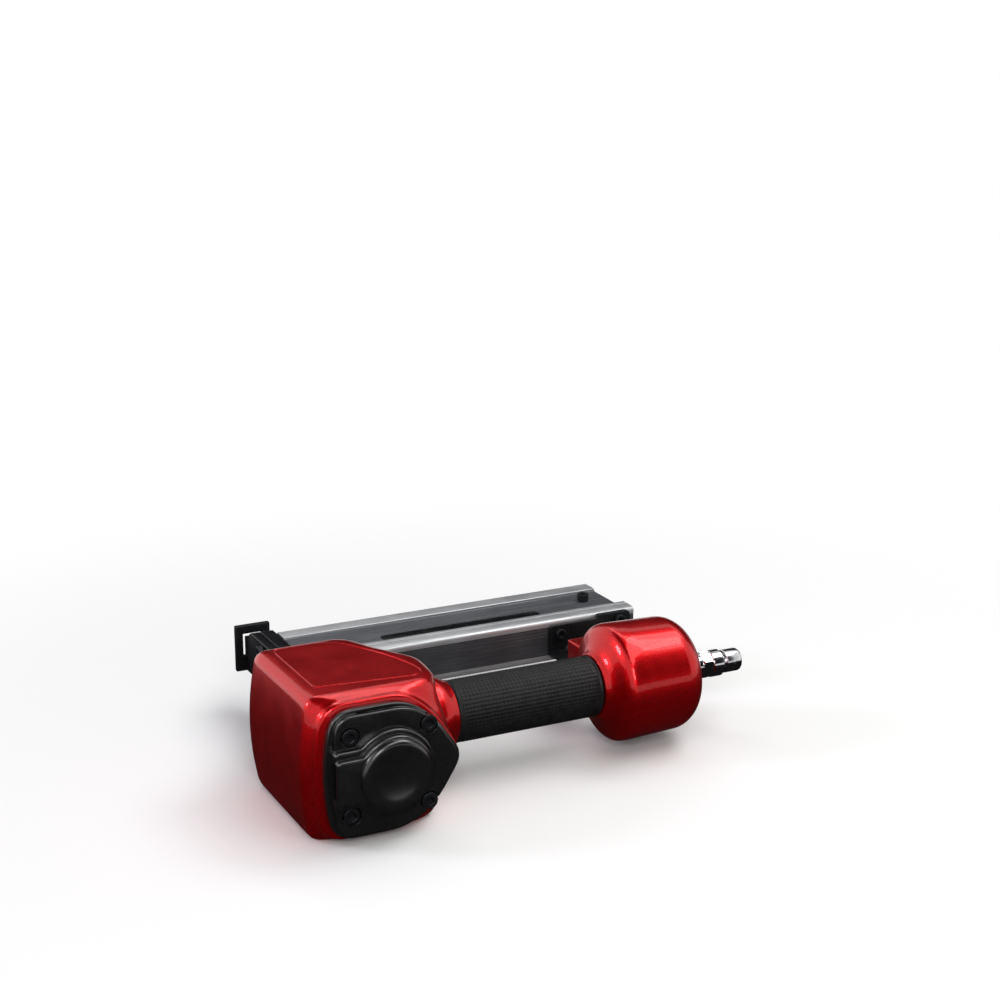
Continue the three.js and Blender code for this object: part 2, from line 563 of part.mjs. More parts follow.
// Quick-connect air plug: thread, collar, hexagon, ring, groove and barrel, bored through.
function airPlug() {
  const start = tankEnd - plug.threadLength;
  const shank = turned('x', [
    [start, 0], [start, plug.thread], [tankEnd + seat, plug.thread], [tankEnd + seat, plug.collar],
    [plug.hexEnd, plug.collar], [plug.hexEnd, plug.ring], [plug.ringEnd, plug.ring],
    [plug.ringEnd, plug.neck], [plug.neckEnd, plug.neck], [plug.neckEnd, plug.barrel],
    [plug.tip - over, plug.barrel], [plug.tip, plug.tipRadius], [plug.tip, 0],
  ], facets.medium);
  const hex = bar('x', plug.hex, plug.hexStart, plug.hexEnd, [0, 0], 6);
  return cut(joined(shank, hex), bar('x', plug.bore, start - over, plug.tip + over));
}

function gripSleeve() {
  const edge = gripRadius - over;
  const body = turned('x', [
    [gripStart, tubeRoom], [gripStart, edge], [gripStart + over, gripRadius], [gripEnd - over, gripRadius],
    [gripEnd, edge], [gripEnd, tubeRoom],
  ]);
  return cut(body, block([gripStart - over, boss.end + slip], [boss.top, gripRadius + over],
    [-boss.half - slip, boss.half + slip]));
}

// Guide behind the driver blade: flange, blade groove, feed window for the brads, tab for the arm's spring.
function noseBody() {
  const flange = block([-nose.flangeHalfX, nose.flangeHalfX], [noseStart, noseFlangeEnd],
    [-nose.flangeHalfZ, nose.flangeHalfZ]);
  const guide = block([-nose.face, nose.rear], [noseStart, nose.shoulder], [-magazineHalf, magazineHalf]);
  const tip = block([-nose.face, nose.tipX], [noseStart, noseTip], [-nose.tipHalf, nose.tipHalf]);
  const tab = block([nose.tabIn, nose.tabOut], [nose.tabStart, nose.tabEnd], [-nose.tabLow, -nose.tabHigh]);
  const groove = block([-nose.face - over, blade.thick / 2 + seat], [noseFlangeEnd - over, noseTip + over],
    [-nose.guideHalf, nose.guideHalf]);
  const throat = bar('y', head.bladeHole, noseStart - over, noseFlangeEnd);
  const feed = block([0, nose.rear + over], [channelStart - nose.feedBelow, coverFloor + nose.feedAbove],
    [-nose.feedHalf, nose.feedHalf]);
  const bolts = pattern(noseBolt).map((at) =>
    bar('y', boltHole, noseStart - over, noseFlangeEnd + over, at, facets.screw));
  return cut(joined(flange, guide, tip, tab), groove, throat, feed, ...bolts,
    ...plateHoles(-nose.face, nose.rear));
}

function nosePlate() {
  const back = -nose.face - seat;
  const start = noseFlangeEnd + seat;
  const wide = block([-nose.plateFront, back], [start, nose.shoulder], [-magazineHalf, magazineHalf]);
  const tip = block([-nose.tipX, back], [start, noseTip], [-nose.tipHalf, nose.tipHalf]);
  return cut(joined(wide, tip), ...plateHoles(-nose.plateFront, back));
}

// Aluminium extrusion: hollow block with beaded edges, and the slotted tongue that carries the brads.
function magazineRail() {
  const channel = [
    [tongueEnd, rail.tongueHalf], [tongueEnd, rail.channelHalf], [roomEnd, rail.channelHalf],
    [roomEnd, rail.roomHalf], [roomStart, rail.roomHalf], [roomStart, rail.channelHalf],
    [channelStart, rail.channelHalf],
  ];
  const { bead } = rail;
  const outline = new THREE.Shape();
  outline.moveTo(magazineFront, bead - magazineHalf);
  outline.quadraticCurveTo(magazineFront, -magazineHalf, magazineFront + bead, -magazineHalf);
  outline.lineTo(blockEnd, -magazineHalf);
  outline.lineTo(blockEnd, -rail.tongueHalf);
  for (const [y, z] of channel) outline.lineTo(y, -z);
  for (const [y, z] of [...channel].reverse()) outline.lineTo(y, z);
  outline.lineTo(blockEnd, rail.tongueHalf);
  outline.lineTo(blockEnd, magazineHalf);
  outline.lineTo(magazineFront + bead, magazineHalf);
  outline.quadraticCurveTo(magazineFront, magazineHalf, magazineFront, magazineHalf - bead);
  outline.holes.push(shapeOf([
    [hollowStart, -rail.hollowHalf], [hollowStart, rail.hollowHalf],
    [hollowEnd, rail.hollowHalf], [hollowEnd, -rail.hollowHalf],
  ]));
  const extrusion = runX(outline, magazineStart, magazineEnd);
  const beyond = block([railEnd, magazineEnd + over], [blockEnd, tongueEnd + over],
    [-magazineHalf, magazineHalf]);
  const notch = block([latchArmEnd - seat, latchArmEnd + latch.tooth + latch.notchPlay],
    [magazineFront - over, magazineFront + latch.notchDeep], [latchLevels[0] - seat, latchLevels[1] + seat]);
  const holes = railScrewPlaces.map((at) =>
    bracketHole(at, magazineFront - over, hollowStart + over));
  return cut(extrusion, beyond, notch, ...holes);
}

// U-shaped cover that slides back along the tongue, with the raised strip along its outer edge.
function magazineCover() {
  const side = [
    [coverFloor, insideHalf], [coverFront, insideHalf], [coverFront, cover.plateHalf],
    [stripStart, cover.plateHalf], [stripStart, magazineHalf], [magazineBack - cover.edge, magazineHalf],
    [magazineBack, magazineHalf - cover.edge],
  ];
  const mirrored = side.map(([y, z]) => [y, -z]).reverse();
  const channel = runX(shapeOf([...side, ...mirrored]), magazineStart + seat, coverEnd);
  return cut(channel, bar('z', blockScrew.shank + seat, -magazineHalf, magazineHalf,
    screwPlace, facets.screw));
}

// Block that closes the cover's end, holds the rod and carries the latch between two ears.
function magazineEndBlock() {
  const half = insideHalf - seat;
  const tail = coverEnd + seat;
  const levels = [-endBlock.tailLow, -endBlock.tailHigh];
  const body = block([insertStart, coverEnd], [insertFront, coverFloor - seat], [-half, half]);
  const joint = block([coverEnd - over, tail + endBlock.joint], [insertFront, stripStart], [-half, half]);
  const bridge = block([tail, tailEnd], [insertFront, stripStart], levels);
  const ears = block([magazineEnd + slip, tailEnd], [tailFront, insertFront + over],
    levels);
  const slot = block([magazineEnd, tailEnd + over], [tailFront - over, latchRoom],
    [latchLevels[0] - seat, latchLevels[1] + seat]);
  const pinHole = bar('z', pin + seat, levels[0] - over, levels[1] + over, latchPivot, facets.screw);
  const rodHole = bar('x', rod.radius + seat, insertStart - over, rodEnd + seat, rodLine, facets.screw);
  const tip = cover.plateHalf - blockScrew.length;
  const screws = [[tip, half + over], [-half - over, -tip]].map(([low, high]) =>
    bar('z', blockScrew.shank + seat, low, high, screwPlace, facets.screw));
  return cut(joined(body, joint, bridge, ears), slot, pinHole, rodHole, ...screws);
}

// Follower that pushes the brads to the nose, with its thin tab in the brad channel.
function magazinePusher() {
  const half = rail.roomHalf - slip;
  const slide = block([pusher.start, pusher.end], [roomStart + slip, roomEnd - slip], [-half, half]);
  const tab = block([pusher.tab, pusher.tabEnd], [channelStart + slip, tongueEnd - slip],
    [-pusher.tabHalf, pusher.tabHalf]);
  return cut(joined(slide, tab), bar('x', rod.radius + slip, pusher.tab - over, pusher.end + over, rodLine,
    facets.screw));
}

const guideRod = () => bar('x', rod.radius, rod.start, rodEnd, rodLine, facets.screw);
const pusherSpringSleeve = () => ringBar('x', pusherSpring.inner, pusherSpring.outer, pusher.end + seat,
  insertStart - seat, facets.screw);

// Latch lever: eye on its pin, arm along the rail's wall with a tooth in its notch, and a thumb tail.
function latchLever() {
  const armSpan = [armFront, armFront + latch.armThick];
  const [x, y] = latchPivot;
  const stem = block([x - latch.eye, x + latch.eye], [armFront, y], latchLevels);
  const reach = block([latchArmEnd, x], armSpan, latchLevels);
  const tooth = block([latchArmEnd, latchArmEnd + latch.tooth], [armFront, magazineFront + latch.toothIn],
    latchLevels);
  const tail = block([x, x + latch.tail], [armFront, armFront + latch.tailThick], latchLevels);
  const eye = bar('z', latch.eye, ...latchLevels, latchPivot);
  const hole = bar('z', pin + seat, latchLevels[0] - over, latchLevels[1] + over, latchPivot, facets.screw);
  return cut(joined(eye, stem, reach, tooth, tail), hole);
}

// Steel bracket: flange on the rail's wall, web below it and foot on the tank's lug.
function rearBracket() {
  const flange = plateY([
    [bracket.start, -bracket.webLow], [tank.lugEnd, -bracket.webLow], [tank.lugEnd, -bracket.low],
    [bracketEnd, -bracket.low], [bracketEnd, bracket.stepHigh],
    [bracketEnd - bracket.step, bracket.stepHigh], [bracketEnd - bracket.step, bracket.high],
    [bracket.start, bracket.high],
  ], flangeFace, wallFace);
  const span = [bracket.start, tank.lugEnd];
  const web = block(span, [footFace, wallFace], [-bracket.webLow, bracket.thick - bracket.webLow]);
  const foot = block(span, [footFace, footFace + bracket.thick], [-bracket.webLow, bracket.webLow]);
  const wallHoles = railScrewPlaces.map((at) => bracketHole(at, flangeFace - over, wallFace + over));
  const lugHoles = lugBoltPlaces.map((at) =>
    bracketHole(at, footFace - over, footFace + bracket.thick + over));
  return cut(joined(flange, web, foot), ...wallHoles, ...lugHoles);
}

// Trigger: a channel that is open towards the handle, with its curved pad between the side plates.
function triggerChannel() {
  const pad = (lift) => new THREE.QuadraticBezierCurve(
    new THREE.Vector2(trigger.endX, trigger.padY - lift),
    new THREE.Vector2(middle(trigger.endX, trigger.tipX), trigger.padY - trigger.dip - lift),
    new THREE.Vector2(trigger.tipX, trigger.tipY - lift),
  ).getPoints(6).map(({ x, y }) => [x, y]);
  const side = plateZ([
    [trigger.x, trigger.y - trigger.boss], [trigger.topX, trigger.topY], [trigger.endX, trigger.endY],
    ...pad(0), [trigger.x - trigger.boss, trigger.y],
  ], -trigger.outer, trigger.outer);
  const eye = bar('z', trigger.boss, -trigger.outer, trigger.outer, [trigger.x, trigger.y]);
  const left = trigger.x - trigger.boss - over;
  const top = trigger.y - trigger.boss - over;
  const inside = plateZ([
    [left, top], [trigger.endX + over, top], [trigger.endX + over, trigger.padY - trigger.thick],
    ...pad(trigger.thick), [trigger.tipX - over, trigger.tipY + over], [left, trigger.tipY + over],
  ], -trigger.inner, trigger.inner);
  const ends = [-trigger.outer - over, trigger.outer + over];
  const pinHole = bar('z', pin + seat, ...ends, [trigger.x, trigger.y], facets.screw);
  const leverHole = bar('z', lever.hole + seat, ...ends, [lever.x, lever.y], facets.screw);
  return cut(joined(side, eye), inside, pinHole, leverHole);
}

function triggerLever() {
  const centre = lever.y - lever.lift;
  const body = block([lever.x - lever.length, lever.x], [centre - lever.thick / 2, centre + lever.thick / 2],
    [-lever.half, lever.half]);
  const eye = bar('z', lever.eye, -lever.half, lever.half, [lever.x, lever.y]);
  return cut(joined(body, eye), bar('z', lever.hole + seat, -lever.half - over, lever.half + over,
    [lever.x, lever.y], facets.screw));
}

// A plain pin across the tool at a place in X and Y.
const crossPin = (radius, half, at) => bar('z', radius, -half, half, at, facets.screw);

// Valve body round Y: a room for the stem's head, open to the airway through its lip.
const valveBody = () => turned('y', [
  [valve.top, valve.lipHole], [valve.top, valve.outer], [valveBottom, valve.outer],
  [valveBottom, valve.stem + seat], [valveBottom - valve.floor, valve.stem + seat],
  [valveBottom - valve.floor, valve.room], [valve.top + valve.lip, valve.room],
  [valve.top + valve.lip, valve.lipHole],
], facets.medium);

const valveStem = () => turned('y', [
  [stemTop, 0], [stemTop, valve.head], [stemGroove, valve.head], [stemGroove, valve.head - valve.groove],
  [stemGroove + valve.grooveWidth, valve.head - valve.groove], [stemGroove + valve.grooveWidth, valve.head],
  [stemSeat, valve.head], [stemSeat, valve.stem], [valve.tip, valve.stem], [valve.tip, 0],
], facets.medium);

const valveSpringSleeve = () => ringBar('y', valve.springInner, valve.springOuter,
  valve.top + valve.lip + seat, stemTop - seat, facets.medium);

// Contact arm: foot round the nose's tip, strip under the magazine, cross bar, riser and trigger finger.
function safetyArm() {
  const levels = [-armLow - arm.thick, -armLow];
  const foot = block([-arm.footLeft, arm.footRight], [arm.footStart, arm.footEnd], [levels[0], arm.footHigh]);
  const hole = block([-nose.tipX - arm.play, nose.tipX + arm.play], [arm.footStart - over, arm.footEnd + over],
    [-nose.tipHalf - arm.play, nose.tipHalf + arm.play]);
  const strip = block([-arm.left, arm.right], [arm.crossStart, arm.footEnd], levels);
  const finger = [arm.fingerX - arm.fingerHalf, arm.fingerX + arm.fingerHalf];
  const cross = block([-arm.left, finger[1]], [arm.crossStart, arm.crossEnd], levels);
  const riser = block(finger, [arm.crossStart, arm.crossStart + arm.riser], [levels[0], arm.fingerZ]);
  const reach = block(finger, [arm.fingerTip, arm.crossStart + arm.riser], [-arm.fingerZ, arm.fingerZ]);
  const springSeat = block([0, arm.seatOut], [arm.seatStart, arm.seatEnd], [-nose.tabLow, -armLow]);
  return cut(joined(foot, strip, cross, riser, reach, springSeat), hole);
}

// The middle line of a coil round Z: curls between two straight ends of one wire diameter.
class CoilLine extends THREE.Curve {
  constructor({ radius, wire, curlCount }, length) {
    super();
    Object.assign(this, { radius, wire, curlCount, rise: length - wire });
    this.end = wire / (2 * Math.PI * radius);
  }

  getPoint(share, target = new THREE.Vector3()) {
    const turn = share * (this.curlCount + 2 * this.end) - this.end;
    const held = THREE.MathUtils.clamp(turn, 0, this.curlCount);
    const angle = held * 2 * Math.PI;
    const beyond = (turn - held) * 2 * Math.PI * this.radius;
    target.set(this.radius * Math.cos(angle), this.radius * Math.sin(angle),
      this.wire / 2 + (this.rise * held) / this.curlCount);
    return target.add(new THREE.Vector3(-Math.sin(angle), Math.cos(angle), 0).multiplyScalar(beyond));
  }
}

// A wire spring from zero to its length, whose least gap between curls is measured and printed.
function coil(name, sizes, length) {
  const line = new CoilLine(sizes, length);
  const steps = Math.round(sizes.curlCount * facets.curl) + 2;
  const section = new THREE.Shape(Array.from({ length: facets.wire }, (_, i) => {
    const angle = (2 * Math.PI * i) / facets.wire;
    return new THREE.Vector2(Math.cos(angle), Math.sin(angle)).multiplyScalar(sizes.wire / 2);
  }));
  const points = line.getSpacedPoints(steps);
  const gaps = points.flatMap((p, i) =>
    points.slice(i + facets.curl - 2).map((q) => p.distanceTo(q) - sizes.wire));
  console.log(`${name}: least gap between its curls ${Math.min(...gaps).toFixed(2)} mm`);
  return solid(new THREE.ExtrudeGeometry(section, { steps, bevelEnabled: false, extrudePath: line }));
}

const tool = new THREE.Group();
tool.position.z = headHalf;

// Adds one piece with its finish, its place and its turn about each axis.
function add(name, shape, look, position = [0, 0, 0], rotation = [0, 0, 0]) {
  const mesh = new THREE.Mesh(geometryOf(shape), new THREE.MeshStandardMaterial(look));
  mesh.name = name;
  mesh.position.set(...position);
  mesh.rotation.set(...rotation);
  tool.add(mesh);
}

// Turns that point a piece's own Z, or a screw's head, along a direction.
const square = Math.PI / 2;
const facing = {
  front: [square, 0, 0], back: [-square, 0, 0], left: [0, -square, 0], right: [0, square, 0],
  up: [0, 0, 0], down: [Math.PI, 0, 0],
};

add('head_handle_casting', headHandleCasting(), finish.paint);
add('air_tank', airTank(), finish.paint);
add('tank_seal_ring', sealRing(tubeRadius - tube.groove, tubeRoom), finish.seal,
  [tube.grooveX + tube.grooveWidth / 2, 0, 0], facing.right);
add('air_plug', airPlug(), finish.chrome);
add('grip_sleeve', gripSleeve(), finish.rubber);

add('cylinder_cap', cylinderCap(), finish.blackPaint);
add('cap_gasket', capGasket(), finish.fibre);
pattern(capBolt).forEach(([x, z], i) => add(`cap_bolt_${i + 1}`, socketScrew({ ...bolt, ...capBolt }),
  finish.blackSteel, [x, capPocket - seat, z], facing.front));

add('head_valve_piston', headValvePiston(), finish.aluminium);
add('head_valve_seal_ring', sealRing(headValve.radius - headValve.groove, cap.cavity), finish.seal,
  [0, valveGroove + headValve.grooveWidth / 2, 0], facing.front);
add('head_valve_spring', coil('head_valve_spring', headSpring, valveTop - capFloor - seat - seat),
  finish.steel, [0, valveTop - seat, 0], facing.front);
add('cylinder_sleeve', cylinderSleeve(), finish.aluminium);
add('sleeve_seal_ring', sealRing(sleeve.flange - sleeve.groove, head.chamber), finish.seal,
  [0, sleeve.flangeAt, 0], facing.front);
add('drive_piston', drivePiston(), finish.aluminium);
add('piston_seal_ring', sealRing(cylinderBore - seat - piston.groove, cylinderBore), finish.seal,
  [0, pistonGroove + piston.grooveWidth / 2, 0], facing.front);
add('driver_blade', driverBlade(), finish.steel);
add('bumper', bumperRing(), finish.rubber);

add('nose_body', noseBody(), finish.blackSteel);
add('nose_plate', nosePlate(), finish.blackSteel);
pattern(noseBolt).forEach(([x, z], i) => add(`nose_bolt_${i + 1}`, socketScrew({ ...bolt, ...noseBolt }),
  finish.blackSteel, [x, boltSeat, z], facing.back));
plateScrewPlaces.forEach(([y, z], i) => add(`plate_screw_${i + 1}`, socketScrew(plateScrew),
  finish.blackSteel, [-nose.plateFront - seat, y, z], facing.left));

add('magazine_rail', magazineRail(), finish.aluminium);
add('magazine_cover', magazineCover(), finish.aluminium);
add('magazine_end_block', magazineEndBlock(), finish.blackPaint);
[facing.up, facing.down].forEach((turn, i) => add(`end_block_screw_${i + 1}`, socketScrew(blockScrew),
  finish.blackSteel, [...screwPlace, (cover.plateHalf + seat) * (i === 0 ? 1 : -1)], turn));
add('magazine_pusher', magazinePusher(), finish.steel);
add('pusher_rod', guideRod(), finish.steel);
add('pusher_spring', pusherSpringSleeve(), finish.steel, [0, ...rodLine]);
add('latch_lever', latchLever(), finish.blackSteel);
add('latch_pin', bar('z', pin, -endBlock.tailLow, -endBlock.tailHigh, latchPivot, facets.screw),
  finish.steel);
add('latch_spring', coil('latch_spring', latchSpring,
  latchRoom - armFront - latch.tailThick - seat - seat), finish.steel,
[latchPivot[0] + latchSpring.out, latchRoom - seat, middle(...latchLevels)], facing.front);

add('rear_bracket', rearBracket(), finish.blackSteel);
railScrewPlaces.forEach(([x, z], i) => add(`rail_screw_${i + 1}`, socketScrew(bracketScrew),
  finish.blackSteel, [x, flangeFace - seat, z], facing.front));
lugBoltPlaces.forEach(([x, z], i) => add(`lug_bolt_${i + 1}`, socketScrew(bracketScrew), finish.blackSteel,
  [x, footFace + bracket.thick + seat, z], facing.back));

add('trigger', triggerChannel(), finish.blackSteel);
add('trigger_pin', crossPin(pin, boss.half, [trigger.x, trigger.y]), finish.steel);
add('trigger_lever', triggerLever(), finish.steel);
add('lever_pin', crossPin(lever.hole, trigger.outer, [lever.x, lever.y]), finish.steel);
add('trigger_valve_body', valveBody(), finish.aluminium, [valve.x, 0, 0]);
add('valve_stem', valveStem(), finish.steel, [valve.x, 0, 0]);
add('valve_stem_seal_ring', sealRing(valve.head - valve.groove, valve.room), finish.seal,
  [valve.x, stemGroove + valve.grooveWidth / 2, 0], facing.front);
add('valve_spring', valveSpringSleeve(), finish.steel, [valve.x, 0, 0]);

add('safety_arm', safetyArm(), finish.blackSteel);
add('safety_spring', coil('safety_spring', armSpring, arm.seatStart - nose.tabEnd - seat - seat),
  finish.steel, [armSpring.x, arm.seatStart - seat, middle(-nose.tabLow, -armLow)], facing.front);

const nailer = new THREE.Group();
nailer.name = 'brad_nailer';
nailer.add(tool);

export default nailer;
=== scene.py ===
"""Looks of a pneumatic brad nailer lying on its side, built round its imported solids.

Lengths in the dataclasses of the pieces are millimetres in the tool's own frame: X along the handle, Y along
the driving line, Z square to the tool's middle plane. One function lifts them onto the floor and turns them
to metres.
"""

import logging
import math
from dataclasses import dataclass, field
from enum import Enum
from typing import Callable, Sequence

import bmesh
import bpy
import numpy as np
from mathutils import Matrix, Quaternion, Vector


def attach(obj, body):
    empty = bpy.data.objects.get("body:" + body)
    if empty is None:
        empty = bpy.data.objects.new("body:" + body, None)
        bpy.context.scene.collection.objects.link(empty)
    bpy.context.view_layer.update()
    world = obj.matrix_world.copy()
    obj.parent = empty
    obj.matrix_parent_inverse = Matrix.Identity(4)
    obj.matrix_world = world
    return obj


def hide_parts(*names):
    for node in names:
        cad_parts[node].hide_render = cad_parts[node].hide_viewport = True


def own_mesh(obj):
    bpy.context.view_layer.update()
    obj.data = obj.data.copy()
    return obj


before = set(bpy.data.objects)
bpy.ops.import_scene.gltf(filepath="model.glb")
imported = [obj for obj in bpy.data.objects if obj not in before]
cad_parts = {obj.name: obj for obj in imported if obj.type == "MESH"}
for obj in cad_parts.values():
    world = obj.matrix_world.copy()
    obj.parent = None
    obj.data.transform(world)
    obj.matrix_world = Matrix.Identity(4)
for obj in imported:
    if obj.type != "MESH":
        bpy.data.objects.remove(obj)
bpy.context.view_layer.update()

LOG = logging.getLogger("brad_nailer")
MM = 0.001
MIDDLE_HEIGHT = 37.0
TURN = 2.0 * math.pi
# A point on a lathe's axis still needs a radius; points closer than this distance in metres are one.
NO_RADIUS = 1e-4
MERGE_DISTANCE = 1e-7
# The largest share of a side that the rounding of one of its corners takes.
LONGEST_FILLET = 0.48
# Cutters reach this far past the face that they cut.
OVER = 1.0
UNIT_SQUARE = np.array([[-1.0, -1.0, 0.0], [1.0, -1.0, 0.0], [1.0, 1.0, 0.0], [-1.0, 1.0, 0.0]])

Array = np.ndarray
Pair = tuple[float, float]
Triple = tuple[float, float, float]
Pairs = tuple[Pair, ...]
Triples = tuple[Triple, ...]


class Axis(Enum):
    """The tool axis that a form runs along, with the two axes of its outline in right-handed order."""

    X = (0, 1, 2)
    Y = (1, 2, 0)
    Z = (2, 0, 1)


class Body(Enum):
    """The rigid bodies that carry a detailed piece."""

    HOUSING = "housing"
    TRIGGER = "trigger"
    CONTACT_ARM = "contact_arm"
    COVER = "magazine_cover"
    LATCH = "latch"


class Slot(Enum):
    """The material slots that the finishes belong to."""

    RED_PAINT = "red_paint"
    BLACK_PAINT = "black_paint"
    BLACK_STEEL = "black_steel"
    BARE_STEEL = "bare_steel"
    PLATED_STEEL = "plated_steel"
    BARE_ALUMINIUM = "bare_aluminium"
    MAGAZINE_ALUMINIUM = "magazine_aluminium"
    GRIP_RUBBER = "grip_rubber"
    SEAL_RUBBER = "seal_rubber"
    GASKET_FIBRE = "gasket_fibre"


# Forms

@dataclass
class Form:
    """A closed surface: points in tool millimetres and faces as lists of point numbers."""

    points: Array
    faces: list[Sequence[int]]


def skin(rings: Array, closed: bool = False) -> Form:
    """Skins rings of equal length with quads.

    Point (i, j) is point j of ring i; quad (i, j) joins it to ring i + 1 and point j + 1.

    Args:
        rings: points of shape (rings, points, 3).
        closed: whether the last ring joins the first; otherwise both ends get a lid.

    Returns:
        The closed form.
    """
    count, size = rings.shape[:2]
    rows = np.arange(count if closed else count - 1)[:, None]
    cols = np.arange(size)[None, :]
    here, ahead = rows * size, (rows + 1) % count * size
    right = (cols + 1) % size
    quads = np.stack([here + cols, here + right, ahead + right, ahead + cols], axis=-1).reshape(-1, 4)
    faces: list[Sequence[int]] = quads.tolist()
    if not closed:
        faces.append(list(range(size))[::-1])
        faces.append(list(range((count - 1) * size, count * size)))
    return Form(rings.reshape(-1, 3), faces)


def on_axis(axis: Axis, along: Array, first: Array, second: Array) -> Array:
    """Places values along an axis and its two outline axes as points of shape (..., 3)."""
    along, first, second = np.broadcast_arrays(along, first, second)
    points = np.empty(along.shape + (3,))
    for target, value in zip(axis.value, (along, first, second)):
        points[..., target] = value
    return points


def parabola(start: Array, pull: Array, end: Array, s: Array) -> Array:
    """The parabola (1-s)^2 A + 2 s (1-s) P + s^2 B from A to B, pulled towards P, at the shares s."""
    return (1 - s) ** 2 * start + 2 * s * (1 - s) * pull + s**2 * end


def filleted(corners: Array, rounding: Array | float, steps: int = 8) -> Array:
    """Rounds the corners of a polygon.

    Each corner becomes a parabola between a point on the side before it and a point on the side after it,
    both at the rounding distance or just short of the side's middle.

    Args:
        corners: polygon of shape (n, 2).
        rounding: one distance for all corners, or one for each.
        steps: points for each corner.

    Returns:
        The dense outline of shape (n * steps, 2).
    """
    corners = np.asarray(corners, float)
    rounding = np.broadcast_to(np.asarray(rounding, float), (len(corners),))[:, None]
    ends = []
    for shift in (1, -1):
        side = np.roll(corners, shift, axis=0) - corners
        length = np.linalg.norm(side, axis=1, keepdims=True)
        ends.append(corners + side * np.minimum(rounding / length, LONGEST_FILLET))
    s = np.linspace(0, 1, steps)[None, :, None]
    return parabola(ends[0][:, None], corners[:, None], ends[1][:, None], s).reshape(-1, 2)


def outline_of(corners: Sequence[Sequence[float]], steps: int = 6) -> Array:
    """Rounds the chosen corners of a polygon.

    Args:
        corners: (first, second, rounding) of each corner; without a rounding it stays one sharp point.
        steps: points for each rounded corner.

    Returns:
        The outline of shape (n, 2).
    """
    points = np.array([corner[:2] for corner in corners], float)
    pieces = []
    for i, corner in enumerate(corners):
        three = points[[i - 1, i, (i + 1) % len(points)]]
        rounded = filleted(three, corner[2], steps)[steps:2 * steps]
        pieces.append(rounded if corner[2] else three[1:2])
    return np.vstack(pieces)


def mirrored(corners: Sequence[Sequence[float]]) -> list[Sequence[float]]:
    """Adds the corners of an outline's other half, mirrored about its first axis."""
    return [*corners, *[(first, -second, rounding) for first, second, rounding in reversed(corners)]]


def circle(centre: Sequence[float], radius: float, points: int = 48) -> Array:
    """Draws a round outline."""
    angle = np.linspace(0, TURN, points, endpoint=False)
    return np.stack([centre[0] + radius * np.cos(angle), centre[1] + radius * np.sin(angle)], axis=1)


def quarter(steps: int) -> Array:
    """The angles of a quarter turn, both ends included."""
    return np.linspace(0, math.pi / 2, steps)


def rounded_edge(place: float, value: float, along: float, across: float, steps: int) -> list[Pair]:
    """The quarter circle (place + along (1 - sin a), value + across (1 - cos a)) as pairs."""
    return [(place + along * (1 - math.sin(a)), value + across * (1 - math.cos(a))) for a in quarter(steps)]


def outward(outline: Array) -> Array:
    """Finds the unit normals that point out of an outline drawn either way round.

    Args:
        outline: points of shape (n, 2).

    Returns:
        One normal for each point.
    """
    ahead = np.roll(outline, -1, axis=0) - np.roll(outline, 1, axis=0)
    normal = np.stack([ahead[:, 1], -ahead[:, 0]], axis=1)
    normal /= np.maximum(np.linalg.norm(normal, axis=1, keepdims=True), 1e-9)
    x, y = outline.T
    area = np.sum(x * np.roll(y, -1) - y * np.roll(x, -1))
    return normal if area > 0 else -normal


def prism(axis: Axis, outline: Array, low: float, high: float, edge: float = 0.0, steps: int = 4) -> Form:
    """Carries an outline along an axis and rounds the rim of both ends.

    At an angle t of a quarter turn the outline is drawn in by edge * (1 - sin t) and lies edge * (1 - cos t)
    from the end, so that each rim is a quarter of a circle.

    Args:
        axis: direction of the prism.
        outline: points of shape (n, 2) on the axis's two outline axes.
        low: where it starts along the axis.
        high: where it ends.
        edge: radius of the rims.
        steps: rings for each rim.

    Returns:
        The closed form.
    """
    normal = outward(outline)
    angle = quarter(steps) if edge else np.array([math.pi / 2])
    inset = edge * (1 - np.sin(angle))
    depth = edge * (1 - np.cos(angle))
    places = np.concatenate([low + depth, (high - depth)[::-1]])
    insets = np.concatenate([inset, inset[::-1]])
    ring = outline[None] - normal[None] * insets[:, None, None]
    return skin(on_axis(axis, places[:, None], ring[..., 0], ring[..., 1]))


def rectangle(first: Sequence[float], second: Sequence[float], rounding: float = 0.0) -> Array:
    """Draws a rectangle.

    Args:
        first: its span on the first outline axis.
        second: its span on the second.
        rounding: how far each corner is rounded.

    Returns:
        The outline.
    """
    (a0, a1), (b0, b1) = first, second
    corners = np.array([[a0, b0], [a1, b0], [a1, b1], [a0, b1]])
    return filleted(corners, rounding, 6) if rounding else corners


def block(spans: Sequence[Sequence[float]], edge: float = 0.6, corner: float = 0.8) -> Form:
    """A block between spans along X, Y and Z, its uprights and its rims rounded."""
    return prism(Axis.Z, rectangle(spans[0], spans[1], corner), *spans[2], edge=edge)


def blocks(parts: Sequence[Sequence]) -> list[Form]:
    """The blocks of a table of spans with the rounding of their rims and their uprights."""
    return [block(*part) for part in parts]


def room(*spans: Sequence[float]) -> Form:
    """A sharp block between spans along X, Y and Z, used as a cutter."""
    return block(spans, 0.0, 0.0)


